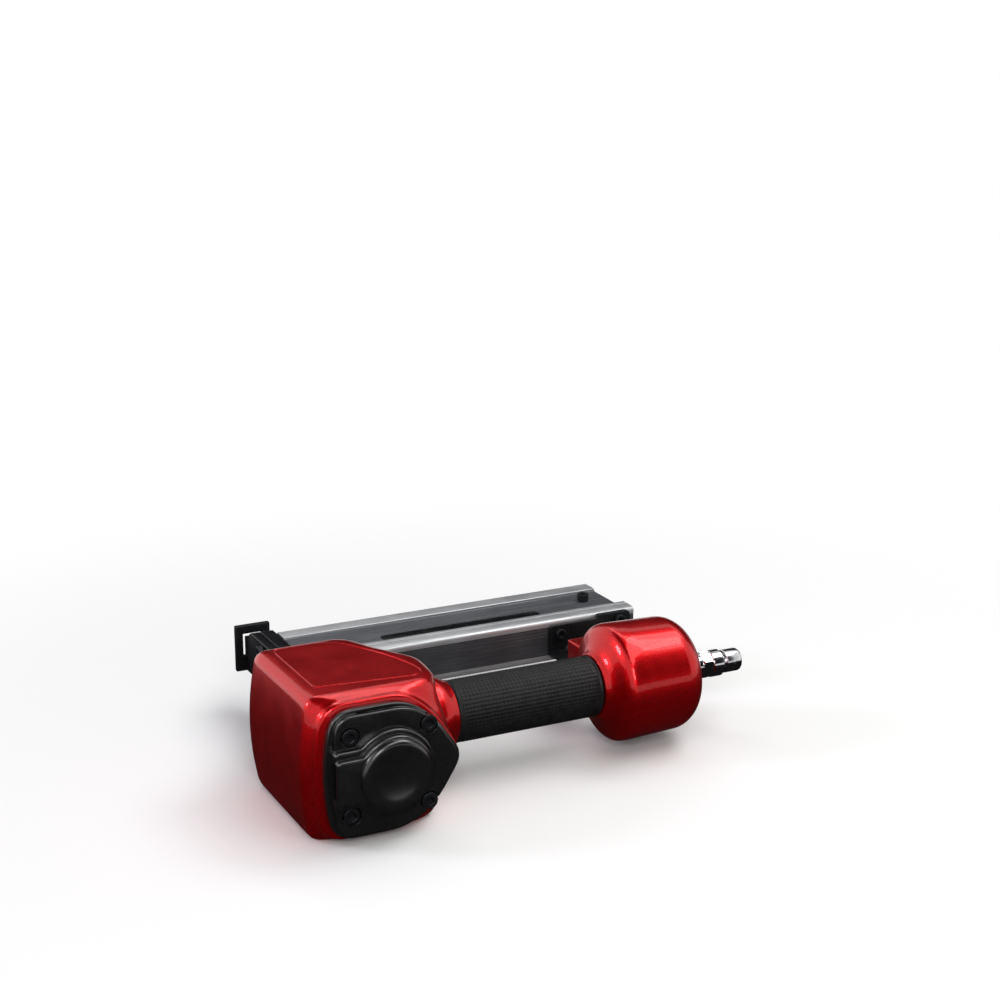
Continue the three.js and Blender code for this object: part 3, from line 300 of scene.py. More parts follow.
def turned(axis: Axis, profile: Array, centre: Sequence[float] = (0, 0), sides: int = 96,
           closed: bool = False) -> Form:
    """Turns a profile of (place, radius) pairs round an axis.

    Args:
        axis: the axis of the lathe.
        profile: points of shape (n, 2); a closed profile is one that returns to its first point.
        centre: where the axis crosses its two outline axes.
        sides: points round the axis.
        closed: whether the last point joins the first.

    Returns:
        The closed form.
    """
    profile = np.asarray(profile, float)
    angle = np.arange(sides) * TURN / sides
    radius = np.maximum(profile[:, 1:2], NO_RADIUS)
    return skin(on_axis(axis, profile[:, :1], centre[0] + radius * np.cos(angle),
                        centre[1] + radius * np.sin(angle)), closed)


def ringed(axis: Axis, rows: Sequence[tuple[float, Array | float]], sides: int, closed: bool = False) -> Form:
    """Skins rings whose radius may change round the axis.

    Args:
        axis: direction of the form.
        rows: the place of each ring along the axis and its radius, one number or one for each side.
        sides: points round the axis.
        closed: whether the last ring joins the first.

    Returns:
        The closed form.
    """
    angle = np.arange(sides) * TURN / sides
    along = np.array([place for place, _ in rows])[:, None]
    radius = np.stack([radii * np.ones(sides) for _, radii in rows])
    return skin(on_axis(axis, along, radius * np.cos(angle), radius * np.sin(angle)), closed)


def bar(axis: Axis, radius: float, low: float, high: float, centre: Sequence[float] = (0, 0),
        sides: int = 48) -> Form:
    """A plain round bar, used as a cutter."""
    return turned(axis, np.array([[low, radius], [high, radius]]), centre, sides)


def drilled(axis: Axis, radius: float, low: float, high: float, places: Sequence[Sequence[float]],
            sides: int = 24) -> list[Form]:
    """Makes the cutters of a row of equal holes.

    Args:
        axis: direction of the holes.
        radius: their radius.
        low: where they start along the axis.
        high: where they end.
        places: where they are on the other two axes, in the order X, Y, Z.
        sides: points round each hole.

    Returns:
        One cutter for each place.
    """
    return [bar(axis, radius, low, high, at[::-1] if axis is Axis.Y else at, sides) for at in places]


def helix(radius: float, wire: float, curls: float, length: float, sides: int = 10,
          steps: int = 24) -> Form:
    """A wire spring along Z from zero to its length.

    The middle line is (R cos a, R sin a, w / 2 + (L - w) a / A) up to the whole angle A, and each section is
    a circle in the plane of the radius and the axis.

    Args:
        radius: radius of the middle line.
        wire: thickness of the wire.
        curls: number of turns.
        length: length of the spring.
        sides: points round the wire.
        steps: sections for each turn.

    Returns:
        The closed form.
    """
    whole = curls * TURN
    angle = np.linspace(0, whole, int(curls * steps) + 1)[:, None]
    round_wire = (np.arange(sides) * TURN / sides)[None]
    reach = radius + wire / 2 * np.cos(round_wire)
    height = wire / 2 + (length - wire) * angle / whole + wire / 2 * np.sin(round_wire)
    return skin(np.stack([reach * np.cos(angle), reach * np.sin(angle), height], axis=-1))


def smooth_between(places: Array, table: Array, at: Array) -> Array:
    """Runs a smooth curve through a table's columns without overshoot.

    Slopes are the harmonic mean of the two neighbouring secants, or zero where these turn, and each stretch
    is the cubic h00 a + h10 h m + h01 b + h11 h n.

    Args:
        places: where the rows of the table lie, rising.
        table: values of shape (places, columns).
        at: places asked for.

    Returns:
        Values of shape (at, columns).
    """
    gap = np.diff(places)[:, None]
    secant = np.diff(table, axis=0) / gap
    slope = np.zeros_like(table)
    before, after = secant[:-1], secant[1:]
    same = before * after > 0
    slope[1:-1] = np.where(same, 2 * before * after / np.where(same, before + after, 1), 0)
    slope[0], slope[-1] = secant[0], secant[-1]
    i = np.clip(np.searchsorted(places, at) - 1, 0, len(places) - 2)
    h = gap[i]
    t = ((at - places[i])[:, None]) / h
    return ((1 + 2 * t) * (1 - t) ** 2 * table[i] + t * (1 - t) ** 2 * h * slope[i]
            + t**2 * (3 - 2 * t) * table[i + 1] + t**2 * (t - 1) * h * slope[i + 1])


def smooth_profile(pairs: Sequence[Sequence[float]], count: int) -> Array:
    """Runs a smooth curve through (place, radius) pairs and returns that many pairs of it."""
    places, radii = np.array(pairs).T
    dense = np.linspace(places[0], places[-1], count)
    return np.stack([dense, smooth_between(places, radii[:, None], dense)[:, 0]], axis=1)


def lifted(points: Array) -> Array:
    """Turns tool millimetres into metres above the floor."""
    return (points + np.array([0, 0, MIDDLE_HEIGHT])) * MM


def placed(name: str, data: bpy.types.ID) -> bpy.types.Object:
    """Makes an object of its data and links it to the scene."""
    thing = bpy.data.objects.new(name, data)
    bpy.context.scene.collection.objects.link(thing)
    return thing


def mesh_object(name: str, form: Form) -> bpy.types.Object:
    """Makes a mesh object of a form, with doubles merged and faces pointing out.

    Args:
        name: name of the object and its mesh.
        form: the surface in tool millimetres.

    Returns:
        The linked object, at the origin.
    """
    mesh = bpy.data.meshes.new(name)
    mesh.from_pydata(lifted(form.points), [], form.faces)
    work = bmesh.new()
    work.from_mesh(mesh)
    bmesh.ops.remove_doubles(work, verts=work.verts, dist=MERGE_DISTANCE)
    bmesh.ops.recalc_face_normals(work, faces=work.faces)
    work.to_mesh(mesh)
    work.free()
    return placed(name, mesh)


def carved(thing: bpy.types.Object, added: Sequence[Form] = (), cuts: Sequence[Form] = ()) -> None:
    """Joins forms to an object, then cuts forms out of it, in place and with no modifier left.

    Args:
        thing: the object to work on.
        added: forms that overlap it.
        cuts: forms taken out, in order.
    """
    helpers = []
    for operation, forms in (("UNION", added), ("DIFFERENCE", cuts)):
        for number, form in enumerate(forms):
            helper = mesh_object(f"helper_{operation}_{number}", form)
            helpers.append(helper)
            step = thing.modifiers.new(helper.name, "BOOLEAN")
            step.operation, step.object, step.solver = operation, helper, "MANIFOLD"
    graph = bpy.context.evaluated_depsgraph_get()
    finished = bpy.data.meshes.new_from_object(thing.evaluated_get(graph))
    thing.modifiers.clear()
    thing.data = finished
    for helper in helpers:
        bpy.data.objects.remove(helper)


# Finishes

def linear(hex_colour: str) -> tuple[float, float, float, float]:
    """Turns an sRGB hex colour into linear values.

    Args:
        hex_colour: a number sign and six hex digits.

    Returns:
        Red, green, blue and a full alpha.
    """
    parts = [int(hex_colour[i:i + 2], 16) / 255 for i in (1, 3, 5)]
    red, green, blue = (c / 12.92 if c <= 0.04045 else ((c + 0.055) / 1.055) ** 2.4 for c in parts)
    return red, green, blue, 1.0


def per_metre(size_mm: float) -> float:
    """The texture scale at which one feature of a pattern is as large as the size."""
    return 1.0 / (size_mm * MM)


def add_node(tree: bpy.types.NodeTree, kind: str, inputs: dict | None = None,
             **settings: object) -> bpy.types.Node:
    """Adds a node with its settings, and fills or links its inputs.

    Args:
        tree: the material's node tree.
        kind: the node's type name.
        inputs: socket name or number to a value, or to the output socket that feeds it.
        settings: properties of the node.

    Returns:
        The new node.
    """
    node = tree.nodes.new(kind)
    for name, value in settings.items():
        setattr(node, name, value)
    for key, value in (inputs or {}).items():
        if isinstance(value, bpy.types.NodeSocket):
            tree.links.new(value, node.inputs[key])
        else:
            node.inputs[key].default_value = value
    return node


def empty_material(name: str) -> bpy.types.Material:
    """Makes a node material that has no node yet."""
    made = bpy.data.materials.new(name)
    made.use_nodes = True
    made.node_tree.nodes.clear()
    return made


@dataclass(frozen=True)
class Finish:
    """A surface with two colours mixed by a grain, a roughness that follows it, and a fine relief."""

    name: str
    slot: Slot
    dark: str
    light: str
    metallic: float
    smooth: float
    rough: float
    grain_mm: float
    stretch: Triple = (1.0, 1.0, 1.0)
    relief_mm: float = 0.004
    relief_grain_mm: float = 0.8
    edge_mm: float = 0.25
    coat: float = 0.0
    coat_rough: float = 0.05
    specular: float = 0.5

    def material(self) -> bpy.types.Material:
        """Builds the finish as a node material."""
        made = empty_material(self.name)
        tree = made.node_tree
        place = add_node(tree, "ShaderNodeTexCoord").outputs["Object"]
        drawn = add_node(tree, "ShaderNodeMapping", {"Vector": place, "Scale": self.stretch}).outputs[0]
        grain = add_node(tree, "ShaderNodeTexNoise", {
            "Vector": drawn, "Scale": per_metre(self.grain_mm), "Detail": 3.0, "Roughness": 0.6}).outputs[0]
        share = add_node(tree, "ShaderNodeMapRange", {
            "Value": grain, "From Min": 0.3, "From Max": 0.7}).outputs[0]
        colour = add_node(tree, "ShaderNodeMix", {
            0: share, 6: linear(self.dark), 7: linear(self.light)}, data_type="RGBA").outputs[2]
        worn = add_node(tree, "ShaderNodeTexNoise", {
            "Vector": place, "Scale": per_metre(14.0), "Detail": 2.0}).outputs[0]
        gloss = add_node(tree, "ShaderNodeMapRange", {
            "Value": worn, "From Min": 0.35, "From Max": 0.65, "To Min": self.smooth,
            "To Max": self.rough}).outputs[0]
        relief = add_node(tree, "ShaderNodeTexNoise", {
            "Vector": drawn, "Scale": per_metre(self.relief_grain_mm), "Detail": 2.0}).outputs[0]
        soft = add_node(tree, "ShaderNodeBevel", {"Radius": self.edge_mm * MM}, samples=4).outputs[0]
        bump = add_node(tree, "ShaderNodeBump", {
            "Height": relief, "Distance": self.relief_mm * MM, "Strength": 1.0, "Normal": soft}).outputs[0]
        shader = add_node(tree, "ShaderNodeBsdfPrincipled", {
            "Base Color": colour, "Metallic": self.metallic, "Roughness": gloss, "Normal": bump,
            "Coat Weight": self.coat, "Coat Roughness": self.coat_rough, "Coat Normal": soft,
            "Specular IOR Level": self.specular})
        add_node(tree, "ShaderNodeOutputMaterial", {"Surface": shader.outputs[0]})
        return made


# Candy paint on a cast alloy: a red glaze over aluminium flake under clear lacquer. The flake sparkles, and
# is drawn at 0.7 mm because its real grain is finer than a pixel; the lacquer gives the sharp reflections.
CANDY_PAINT = Finish(
    "candy_red_lacquer", Slot.RED_PAINT, "#A60209", "#DE050D", 0.86, 0.3, 0.36, 0.7,
    relief_mm=0.001, relief_grain_mm=1.2, edge_mm=0.6, coat=0.5, coat_rough=0.06)
# Satin black paint on a cast alloy: an even sheen with the grain of the mould showing through.
BLACK_PAINT = Finish(
    "satin_black_paint", Slot.BLACK_PAINT, "#0F0F0F", "#171717", 0.0, 0.2, 0.26, 2.5,
    relief_mm=0.002, edge_mm=0.35, specular=0.85)
# Black oxide on steel, with a film of oil: nearly black, with a dull metal glint on edges.
BLACK_OXIDE = Finish(
    "black_oxide_steel", Slot.BLACK_STEEL, "#18191B", "#292A2D", 0.6, 0.28, 0.4, 1.6,
    relief_mm=0.006, relief_grain_mm=0.6, edge_mm=0.3, specular=0.35)
# Ground steel: bright, with fine straight scratches along X drawn 12 times longer than wide.
GROUND_STEEL = Finish(
    "ground_steel", Slot.BARE_STEEL, "#8D8F93", "#B7B9BC", 1.0, 0.2, 0.32, 0.5, stretch=(0.08, 1, 1),
    relief_mm=0.003, relief_grain_mm=0.4, edge_mm=0.15)
# Machined aluminium: pale, with turning marks too fine to see apart.
MACHINED_ALUMINIUM = Finish(
    "machined_aluminium", Slot.BARE_ALUMINIUM, "#A9ABAE", "#C6C8CA", 1.0, 0.28, 0.4, 0.6,
    relief_mm=0.003, relief_grain_mm=0.5, edge_mm=0.2)
# Anodised extrusion: a satin grey metal with die lines along X, drawn 0.9 mm apart and 40 times as long.
ANODISED = Finish(
    "anodised_aluminium", Slot.MAGAZINE_ALUMINIUM, "#5E6064", "#7A7C80", 0.9, 0.46, 0.54, 0.9,
    stretch=(0.025, 1, 1), relief_grain_mm=0.7)
# A paler copy of the extrusion's finish, broader in its sheen, for the rail's beads and the cover's raised
# strip: a painted highlight where these faces catch the light.
PAINTED_HIGHLIGHT_ALUMINIUM = Finish(
    "painted_highlight_aluminium", Slot.MAGAZINE_ALUMINIUM, "#B8BABC", "#CCCDCE", 0.75, 0.4, 0.48, 0.9,
    stretch=(0.025, 1, 1), relief_mm=0.003, relief_grain_mm=0.7)
# Nickel plating on turned steel: mirror bright with faint rings.
NICKEL = Finish(
    "nickel_plated_steel", Slot.PLATED_STEEL, "#BFC0C3", "#DCDDDF", 1.0, 0.08, 0.18, 1.2,
    stretch=(1, 0.1, 0.1), relief_grain_mm=0.7, edge_mm=0.2)
# Moulded rubber on the handle: dull black, a little greyer where hands have rubbed it.
GRIP_RUBBER = Finish(
    "moulded_grip_rubber", Slot.GRIP_RUBBER, "#101011", "#1B1C1C", 0.0, 0.4, 0.5, 5.0,
    relief_mm=0.008, relief_grain_mm=0.6, edge_mm=0.1, specular=0.22)
# Smooth sealing rubber.
SEAL_RUBBER = Finish(
    "seal_rubber", Slot.SEAL_RUBBER, "#0F0F10", "#191919", 0.0, 0.4, 0.55, 2.0, edge_mm=0.15)
# Pressed fibre of the gasket: matt brown grey with short fibres.
FIBRE = Finish(
    "pressed_fibre", Slot.GASKET_FIBRE, "#3A352F", "#5A534B", 0.0, 0.85, 0.95, 0.4,
    relief_mm=0.02, edge_mm=0.1)
# Black printed film of the bare label strip.
LABEL_FILM = Finish(
    "black_label_film", Slot.BLACK_PAINT, "#0C0D0E", "#151618", 0.0, 0.18, 0.28, 3.0,
    relief_mm=0.002, edge_mm=0.1)

_made: dict[str, bpy.types.Material] = {}


def material_of(finish: Finish) -> bpy.types.Material:
    """Builds each finish once and hands it out."""
    if finish.name not in _made:
        _made[finish.name] = finish.material()
    return _made[finish.name]


def shade_smooth(mesh: bpy.types.Mesh, angle: float) -> None:
    """Shades faces smooth and keeps edges above an angle in degrees sharp."""
    mesh.polygons.foreach_set("use_smooth", np.ones(len(mesh.polygons), bool))
    mesh.set_sharp_from_angle(angle=math.radians(angle))


def paint_highlight_faces(thing: bpy.types.Object, finish: Finish, chosen: Callable[[Array], Array]) -> None:
    """Gives a second finish, a painted highlight, to the faces whose centres are chosen.

    Args:
        thing: the piece, already dressed.
        finish: the second finish.
        chosen: takes face centres in tool millimetres, of shape (n, 3), and returns which ones change.
    """
    thing.data.materials.append(material_of(finish))
    centres = np.empty(len(thing.data.polygons) * 3)
    thing.data.polygons.foreach_get("center", centres)
    centres = centres.reshape(-1, 3) / MM - [0, 0, MIDDLE_HEIGHT]
    thing.data.polygons.foreach_set("material_index", chosen(centres).astype(np.int32))


def dress(thing: bpy.types.Object, finish: Finish, *nodes: str, body: Body = Body.HOUSING,
          angle: float = 30.0) -> None:
    """Gives a finished piece its material and body, and hides the CAD nodes that it stands for.

    Args:
        thing: the piece, at the origin with its place in its mesh.
        finish: its surface.
        nodes: CAD nodes that it replaces.
        body: the body that it rides on.
        angle: edges sharper than this stay sharp.
    """
    thing.data.materials.clear()
    thing.data.materials.append(material_of(finish))
    shade_smooth(thing.data, angle)
    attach(thing, body.value)
    if nodes:
        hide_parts(*nodes)
    LOG.info("%s rides on %s with %d faces", thing.name, body.value, len(thing.data.polygons))


def piece(name: str, finish: Finish, node: str, base: Form, added: Sequence[Form] = (),
          cuts: Sequence[Form] = (), body: Body = Body.HOUSING, angle: float = 30.0) -> bpy.types.Object:
    """Makes a dressed piece of a base form with others joined to it and cut out of it.

    Args:
        name: its name.
        finish: its surface.
        node: the CAD node that it replaces.
        base: the form to start from.
        added: forms that overlap it.
        cuts: forms taken out, in order.
        body: the body that it rides on.
        angle: edges sharper than this stay sharp.

    Returns:
        The piece.
    """
    thing = mesh_object(name, base)
    if added or cuts:
        carved(thing, added, cuts)
    dress(thing, finish, node, body=body, angle=angle)
    return thing


# The head's outline, which the casting and the cap follow, and sizes that several pieces share

@dataclass
class HeadOutline:
    """The head's outline at stations along the driving line, as shares of its own sizes."""

    half: float = 37.0
    left: float = 36.0
    right: float = 39.0
    swell: float = 4.2
    front: float = 47.5
    back: float = 37.5
    swell_height_share: float = 0.34
    swell_share: float = 0.4
    flat_share: float = 0.27
    bend_share: float = 0.3
    tip_share: float = 0.22
    steps: int = 10
    front_rows: int = 8
    # Along, left, half, flat, bend in X, bend in Z, tip, rounding of the left corners. The rows near the
    # front make the crest that frames the cap and the broad slope up to the full width.
    stations: tuple[tuple[float, ...], ...] = (
        (-1.0, 0.85, 0.92, 0.275, 0.637, 0.637, 1.04, 0.37),
        (-0.992, 0.868, 0.938, 0.285, 0.65, 0.65, 1.053, 0.37),
        (-0.975, 0.884, 0.948, 0.295, 0.655, 0.652, 1.056, 0.365),
        (-0.93, 0.9, 0.953, 0.38, 0.7, 0.64, 1.05, 0.35),
        (-0.88, 0.945, 0.973, 0.56, 0.78, 0.637, 1.05, 0.28),
        (-0.82, 0.988, 0.993, 0.69, 0.842, 0.632, 1.06, 0.215),
        (-0.78, 1.0, 1.0, 0.76, 0.863, 0.63, 1.068, 0.19),
        (-0.55, 1.0, 1.0, 0.93, 0.89, 0.62, 1.06, 0.17),
        (-0.2, 1.0, 1.0, 0.97, 0.925, 0.6, 1.0, 0.17),
        (0.1, 1.0, 1.0, 0.81, 0.88, 0.6, 0.9, 0.17),
        (0.45, 1.0, 1.0, 0.61, 0.77, 0.6, 0.78, 0.17),
        (0.75, 1.0, 1.0, 0.49, 0.62, 0.58, 0.67, 0.17),
        (0.93, 0.985, 0.985, 0.39, 0.47, 0.55, 0.56, 0.17),
        (1.0, 0.93, 0.93, 0.24, 0.39, 0.5, 0.44, 0.17),
    )

    def ring(self, shares: Sequence[float], inset: float = 0.0, swell: float = 1.0) -> Array:
        """Draws the outline in X and Z for one row of shares.

        Args:
            shares: a row of the stations without its place.
            inset: how far the outline is drawn in.
            swell: share of the swell on the left side.

        Returns:
            The dense outline.
        """
        left, half, flat, bend_x, bend_z, tip, edge = shares
        top = self.half * half - inset
        side = -self.left * left + inset
        upper = [(side - self.swell * swell, self.half * self.swell_height_share), (side, top),
                 (self.right * flat - inset, top),
                 (self.right * bend_x - inset, self.half * bend_z - inset)]
        corners = upper + [(self.right * tip - inset, 0)] + [(x, -z) for x, z in reversed(upper)]
        upper_rounding = [self.swell_share, edge, self.flat_share, self.bend_share]
        rounding = self.left * np.array(upper_rounding + [self.tip_share] + upper_rounding[::-1])
        return filleted(np.array(corners), rounding, self.steps)

    def rings(self, count: int) -> tuple[Array, Array]:
        """Spreads outlines along the driving line, closer together near both ends.

        Args:
            count: number of outlines, without those added at the front stations.

        Returns:
            Their places and the outlines.
        """
        table = np.array(self.stations)
        along = table[:, 0] * np.where(table[:, 0] < 0, self.front, self.back)
        even = 0.5 - 0.5 * np.cos(math.pi * np.linspace(0, 1, count))
        at = np.unique(np.concatenate([along[0] + (along[-1] - along[0]) * even, along[:self.front_rows]]))
        rows = smooth_between(along, table[:, 1:], at)
        return at, np.stack([self.ring(row) for row in rows])


OUTLINE = HeadOutline()
BOLT_HOLE = 2.7
SCREW_HOLE = 2.2
PIN_HOLE = 1.6
CAP_BOLT_PITCH = (20.4, 20.1)
NOSE_BOLT_PITCH = (13.5, 8.0)
# Places of screws in X and Z, and of the end block's screw and the trigger's pin in X and Y.
RAIL_PLACES = ((158.0, 5.0), (197.0, 7.6))
LUG_PLACES = ((155.7, 1.0), (162.5, 1.0))
END_SCREW_PLACE = (190.0, 99.0)
TRIGGER_PIVOT = (35.0, 21.0)
QUARTERS = ((-1, 1), (1, 1), (-1, -1), (1, -1))


def pattern(pitch: Sequence[float]) -> list[Pair]:
    """The four places of a rectangular bolt pattern in X and Z."""
    return [(sx * pitch[0], sz * pitch[1]) for sx, sz in QUARTERS]


@dataclass
class HeadCasting:
    """Red casting: head, neck, collar, handle tube, and the boss with its two ears for the trigger."""

    chamber: float = 23.0
    chamber_end: float = 25.3
    pocket: float = 16.4
    pocket_end: float = 37.8
    blade_hole: float = 5.5
    neck: tuple[float, float, float, float] = (20.0, 17.0, 30.0, 46.0)
    neck_corner: float = 3.0
    tube_radius: float = 13.5
    tube_bore: float = 10.0
    tube_end: float = 149.0
    bore_start: float = 12.0
    grip_face: float = 54.7
    boss: Pair = (28.0, 64.0)
    boss_top: float = 6.0
    boss_depth: float = 15.6
    boss_half: float = 9.0
    ear_in: float = 5.4
    ear_end: float = 41.0
    ear_depth: float = 25.4
    valve_hole: float = 6.5
    valve_at: Pair = (0.0, 50.0)
    cap_thread_end: float = -32.5
    nose_thread_end: float = 40.0
    line_width: float = 1.2
    line_depth: float = 0.5
    collar: Pairs = (
        (16.0, 18.6), (30.0, 19.3), (38.0, 19.9), (43.0, 20.5), (46.0, 20.4), (49.5, 19.4), (53.0, 17.6),
        (54.7, 16.9))
    # The panel line's corners in X and Y with their roundings, read from the photo's head top.
    panel: Triples = (
        (-28.0, 33.0, 6.0), (-27.5, -26.5, 3.5), (24.5, -33.0, 4.0), (29.0, -26.0, 5.0), (25.0, -8.0, 12.0),
        (15.5, 14.0, 14.0), (3.0, 31.0, 8.0), (-3.0, 33.0, 5.0))

    def shell(self) -> Form:
        """The head's outer skin with a rim of a small radius at each end."""
        at, rings = OUTLINE.rings(44)
        return skin(on_axis(Axis.Y, at[:, None], rings[..., 1], rings[..., 0]))

    def handle(self) -> Form:
        """The collar and the tube, turned round X."""
        tube = [[self.grip_face, self.tube_radius], [self.tube_end, self.tube_radius]]
        return turned(Axis.X, np.vstack([smooth_profile(self.collar, 36), tube]), sides=128)

    def panel_line(self) -> Form:
        """The thin sunk line round the head's upper face, a strip between two outlines."""
        corners = np.array(self.panel)
        middle = filleted(corners[:, :2], corners[:, 2], 12)
        normal = outward(middle)
        spread = np.array([-1, 1, 1, -1]) * self.line_width / 2
        rise = np.array([1, 1, -1, -1]) * self.line_depth + OUTLINE.half
        ring = middle[None] + normal[None] * spread[:, None, None]
        return skin(on_axis(Axis.Z, rise[:, None], ring[..., 0], ring[..., 1]), closed=True)

    def build(self) -> None:
        """Makes the casting and the parts of it that other pieces pass through."""
        neck_x, neck_z, neck_start, neck_end = self.neck
        neck_outline = rectangle((-neck_z, neck_z), (-neck_x, neck_x), self.neck_corner)
        neck = prism(Axis.Y, neck_outline, neck_start, neck_end, 0.8)
        half = self.boss_half
        seat = block((self.boss, (self.boss_top, self.boss_depth), (-half, half)), 0.8)
        ears = [block(((self.boss[0] - OVER, self.ear_end), (self.boss_top, self.ear_depth), span), 0.6, 3.0)
                for span in ((self.ear_in, half), (-half, -self.ear_in))]
        clear = room((self.boss[0], self.boss[1] + OVER), (self.boss_depth, self.ear_depth + OVER),
                     (-half - 0.5, half + 0.5))
        head = mesh_object("head_and_handle_casting", self.shell())
        carved(head, [self.handle()], [clear])
        face = -OUTLINE.front - OVER
        holes = [bar(Axis.Y, self.chamber, face, self.chamber_end, sides=96),
                 bar(Axis.Y, self.pocket, self.chamber_end - OVER, self.pocket_end, sides=96),
                 bar(Axis.Y, self.blade_hole, self.pocket_end - OVER, neck_end + OVER),
                 bar(Axis.X, self.tube_bore, self.bore_start, self.tube_end + OVER),
                 bar(Axis.Y, self.valve_hole, 0, self.boss_depth + OVER, self.valve_at),
                 *drilled(Axis.Z, PIN_HOLE, -half - OVER, half + OVER, [TRIGGER_PIVOT]),
                 *drilled(Axis.Y, BOLT_HOLE, face, self.cap_thread_end, pattern(CAP_BOLT_PITCH)),
                 *drilled(Axis.Y, BOLT_HOLE, self.nose_thread_end, neck_end + OVER, pattern(NOSE_BOLT_PITCH))]
        carved(head, [neck, seat, *ears], [*holes, self.panel_line()])
        dress(head, CANDY_PAINT, "head_handle_casting", angle=40)


# Screws

class Facing(Enum):
    """Where a screw's head points: the images of its own X, Y and Z axes."""

    FRONT = ((1, 0, 0), (0, 0, 1), (0, -1, 0))
    BACK = ((1, 0, 0), (0, 0, -1), (0, 1, 0))
    LEFT = ((0, 0, 1), (0, 1, 0), (-1, 0, 0))
    RIGHT = ((0, 0, -1), (0, 1, 0), (1, 0, 0))
    UP = ((1, 0, 0), (0, 1, 0), (0, 0, 1))
    DOWN = ((1, 0, 0), (0, -1, 0), (0, 0, -1))

    def carry(self, form: Form, place: Sequence[float]) -> Form:
        """Turns a form that was made along Z and sets it at a place."""
        return Form(form.points @ np.array(self.value, float) + np.asarray(place, float), form.faces)


def hexagon(corner: float, angle: Array) -> Array:
    """Radius of a hexagon at each angle: its flat's distance over the cosine to that flat."""
    flat = corner * math.cos(math.pi / 6)
    return flat / np.cos((angle + math.pi / 6) % (math.pi / 3) - math.pi / 6)


@dataclass
class SocketScrew:
    """A socket head screw with a knurled head."""

    head: float
    height: float
    shank: float
    length: float
    socket: float
    deep: float
    round_edge: float = 0.45
    knurl: float = 0.07
    ridges: int = 30
    sides: int = 120
    tip_edge: float = 0.4
    foot_edge: float = 0.2
    mouth_share: float = 1.12
    mouth_depth: float = 0.15
    drill_point: float = 0.3

    def form(self) -> Form:
        """Skins rings up the shank, round the head and down into the socket.

        The knurl scales the radius by 1 - k / r (1 + cos(n a)) / 2 with n ridges of the depth k. The head's
        top edge is a quarter circle, and the socket is a hexagon with a chamfered mouth.

        Returns:
            The screw along Z, with its head's underside at zero.
        """
        angle = np.arange(self.sides) * TURN / self.sides
        grip = 1 - self.knurl / self.head * (0.5 + 0.5 * np.cos(angle * self.ridges))
        six = hexagon(self.socket, angle)
        tip, foot, edge = self.tip_edge, self.foot_edge, self.round_edge
        rows = [(-self.length, self.shank - tip), (tip - self.length, self.shank), (0.0, self.shank),
                (0.0, self.head - foot), (foot, self.head * grip), (self.height - edge, self.head * grip),
                *rounded_edge(self.height, self.head, -edge, -edge, 5)[1:],
                (self.height, six * self.mouth_share), (self.height - self.mouth_depth, six),
                (self.height - self.deep, six), (self.height - self.deep - self.drill_point, NO_RADIUS)]
        return ringed(Axis.Z, rows, self.sides)

    def fit(self, name: str, facing: Facing, place: Sequence[float], body: Body = Body.HOUSING) -> None:
        """Sets one screw in its place; its CAD node has the same name."""
        piece(f"{name}_detailed", BLACK_OXIDE, name, facing.carry(self.form(), place), body=body, angle=28)

    def fit_row(self, stem: str, facing: Facing, places: Sequence[Sequence[float]]) -> None:
        """Sets a row of screws in the housing; their CAD nodes are the stem and a number."""
        for number, place in enumerate(places, 1):
            self.fit(f"{stem}_{number}", facing, place)


# Cylinder cap

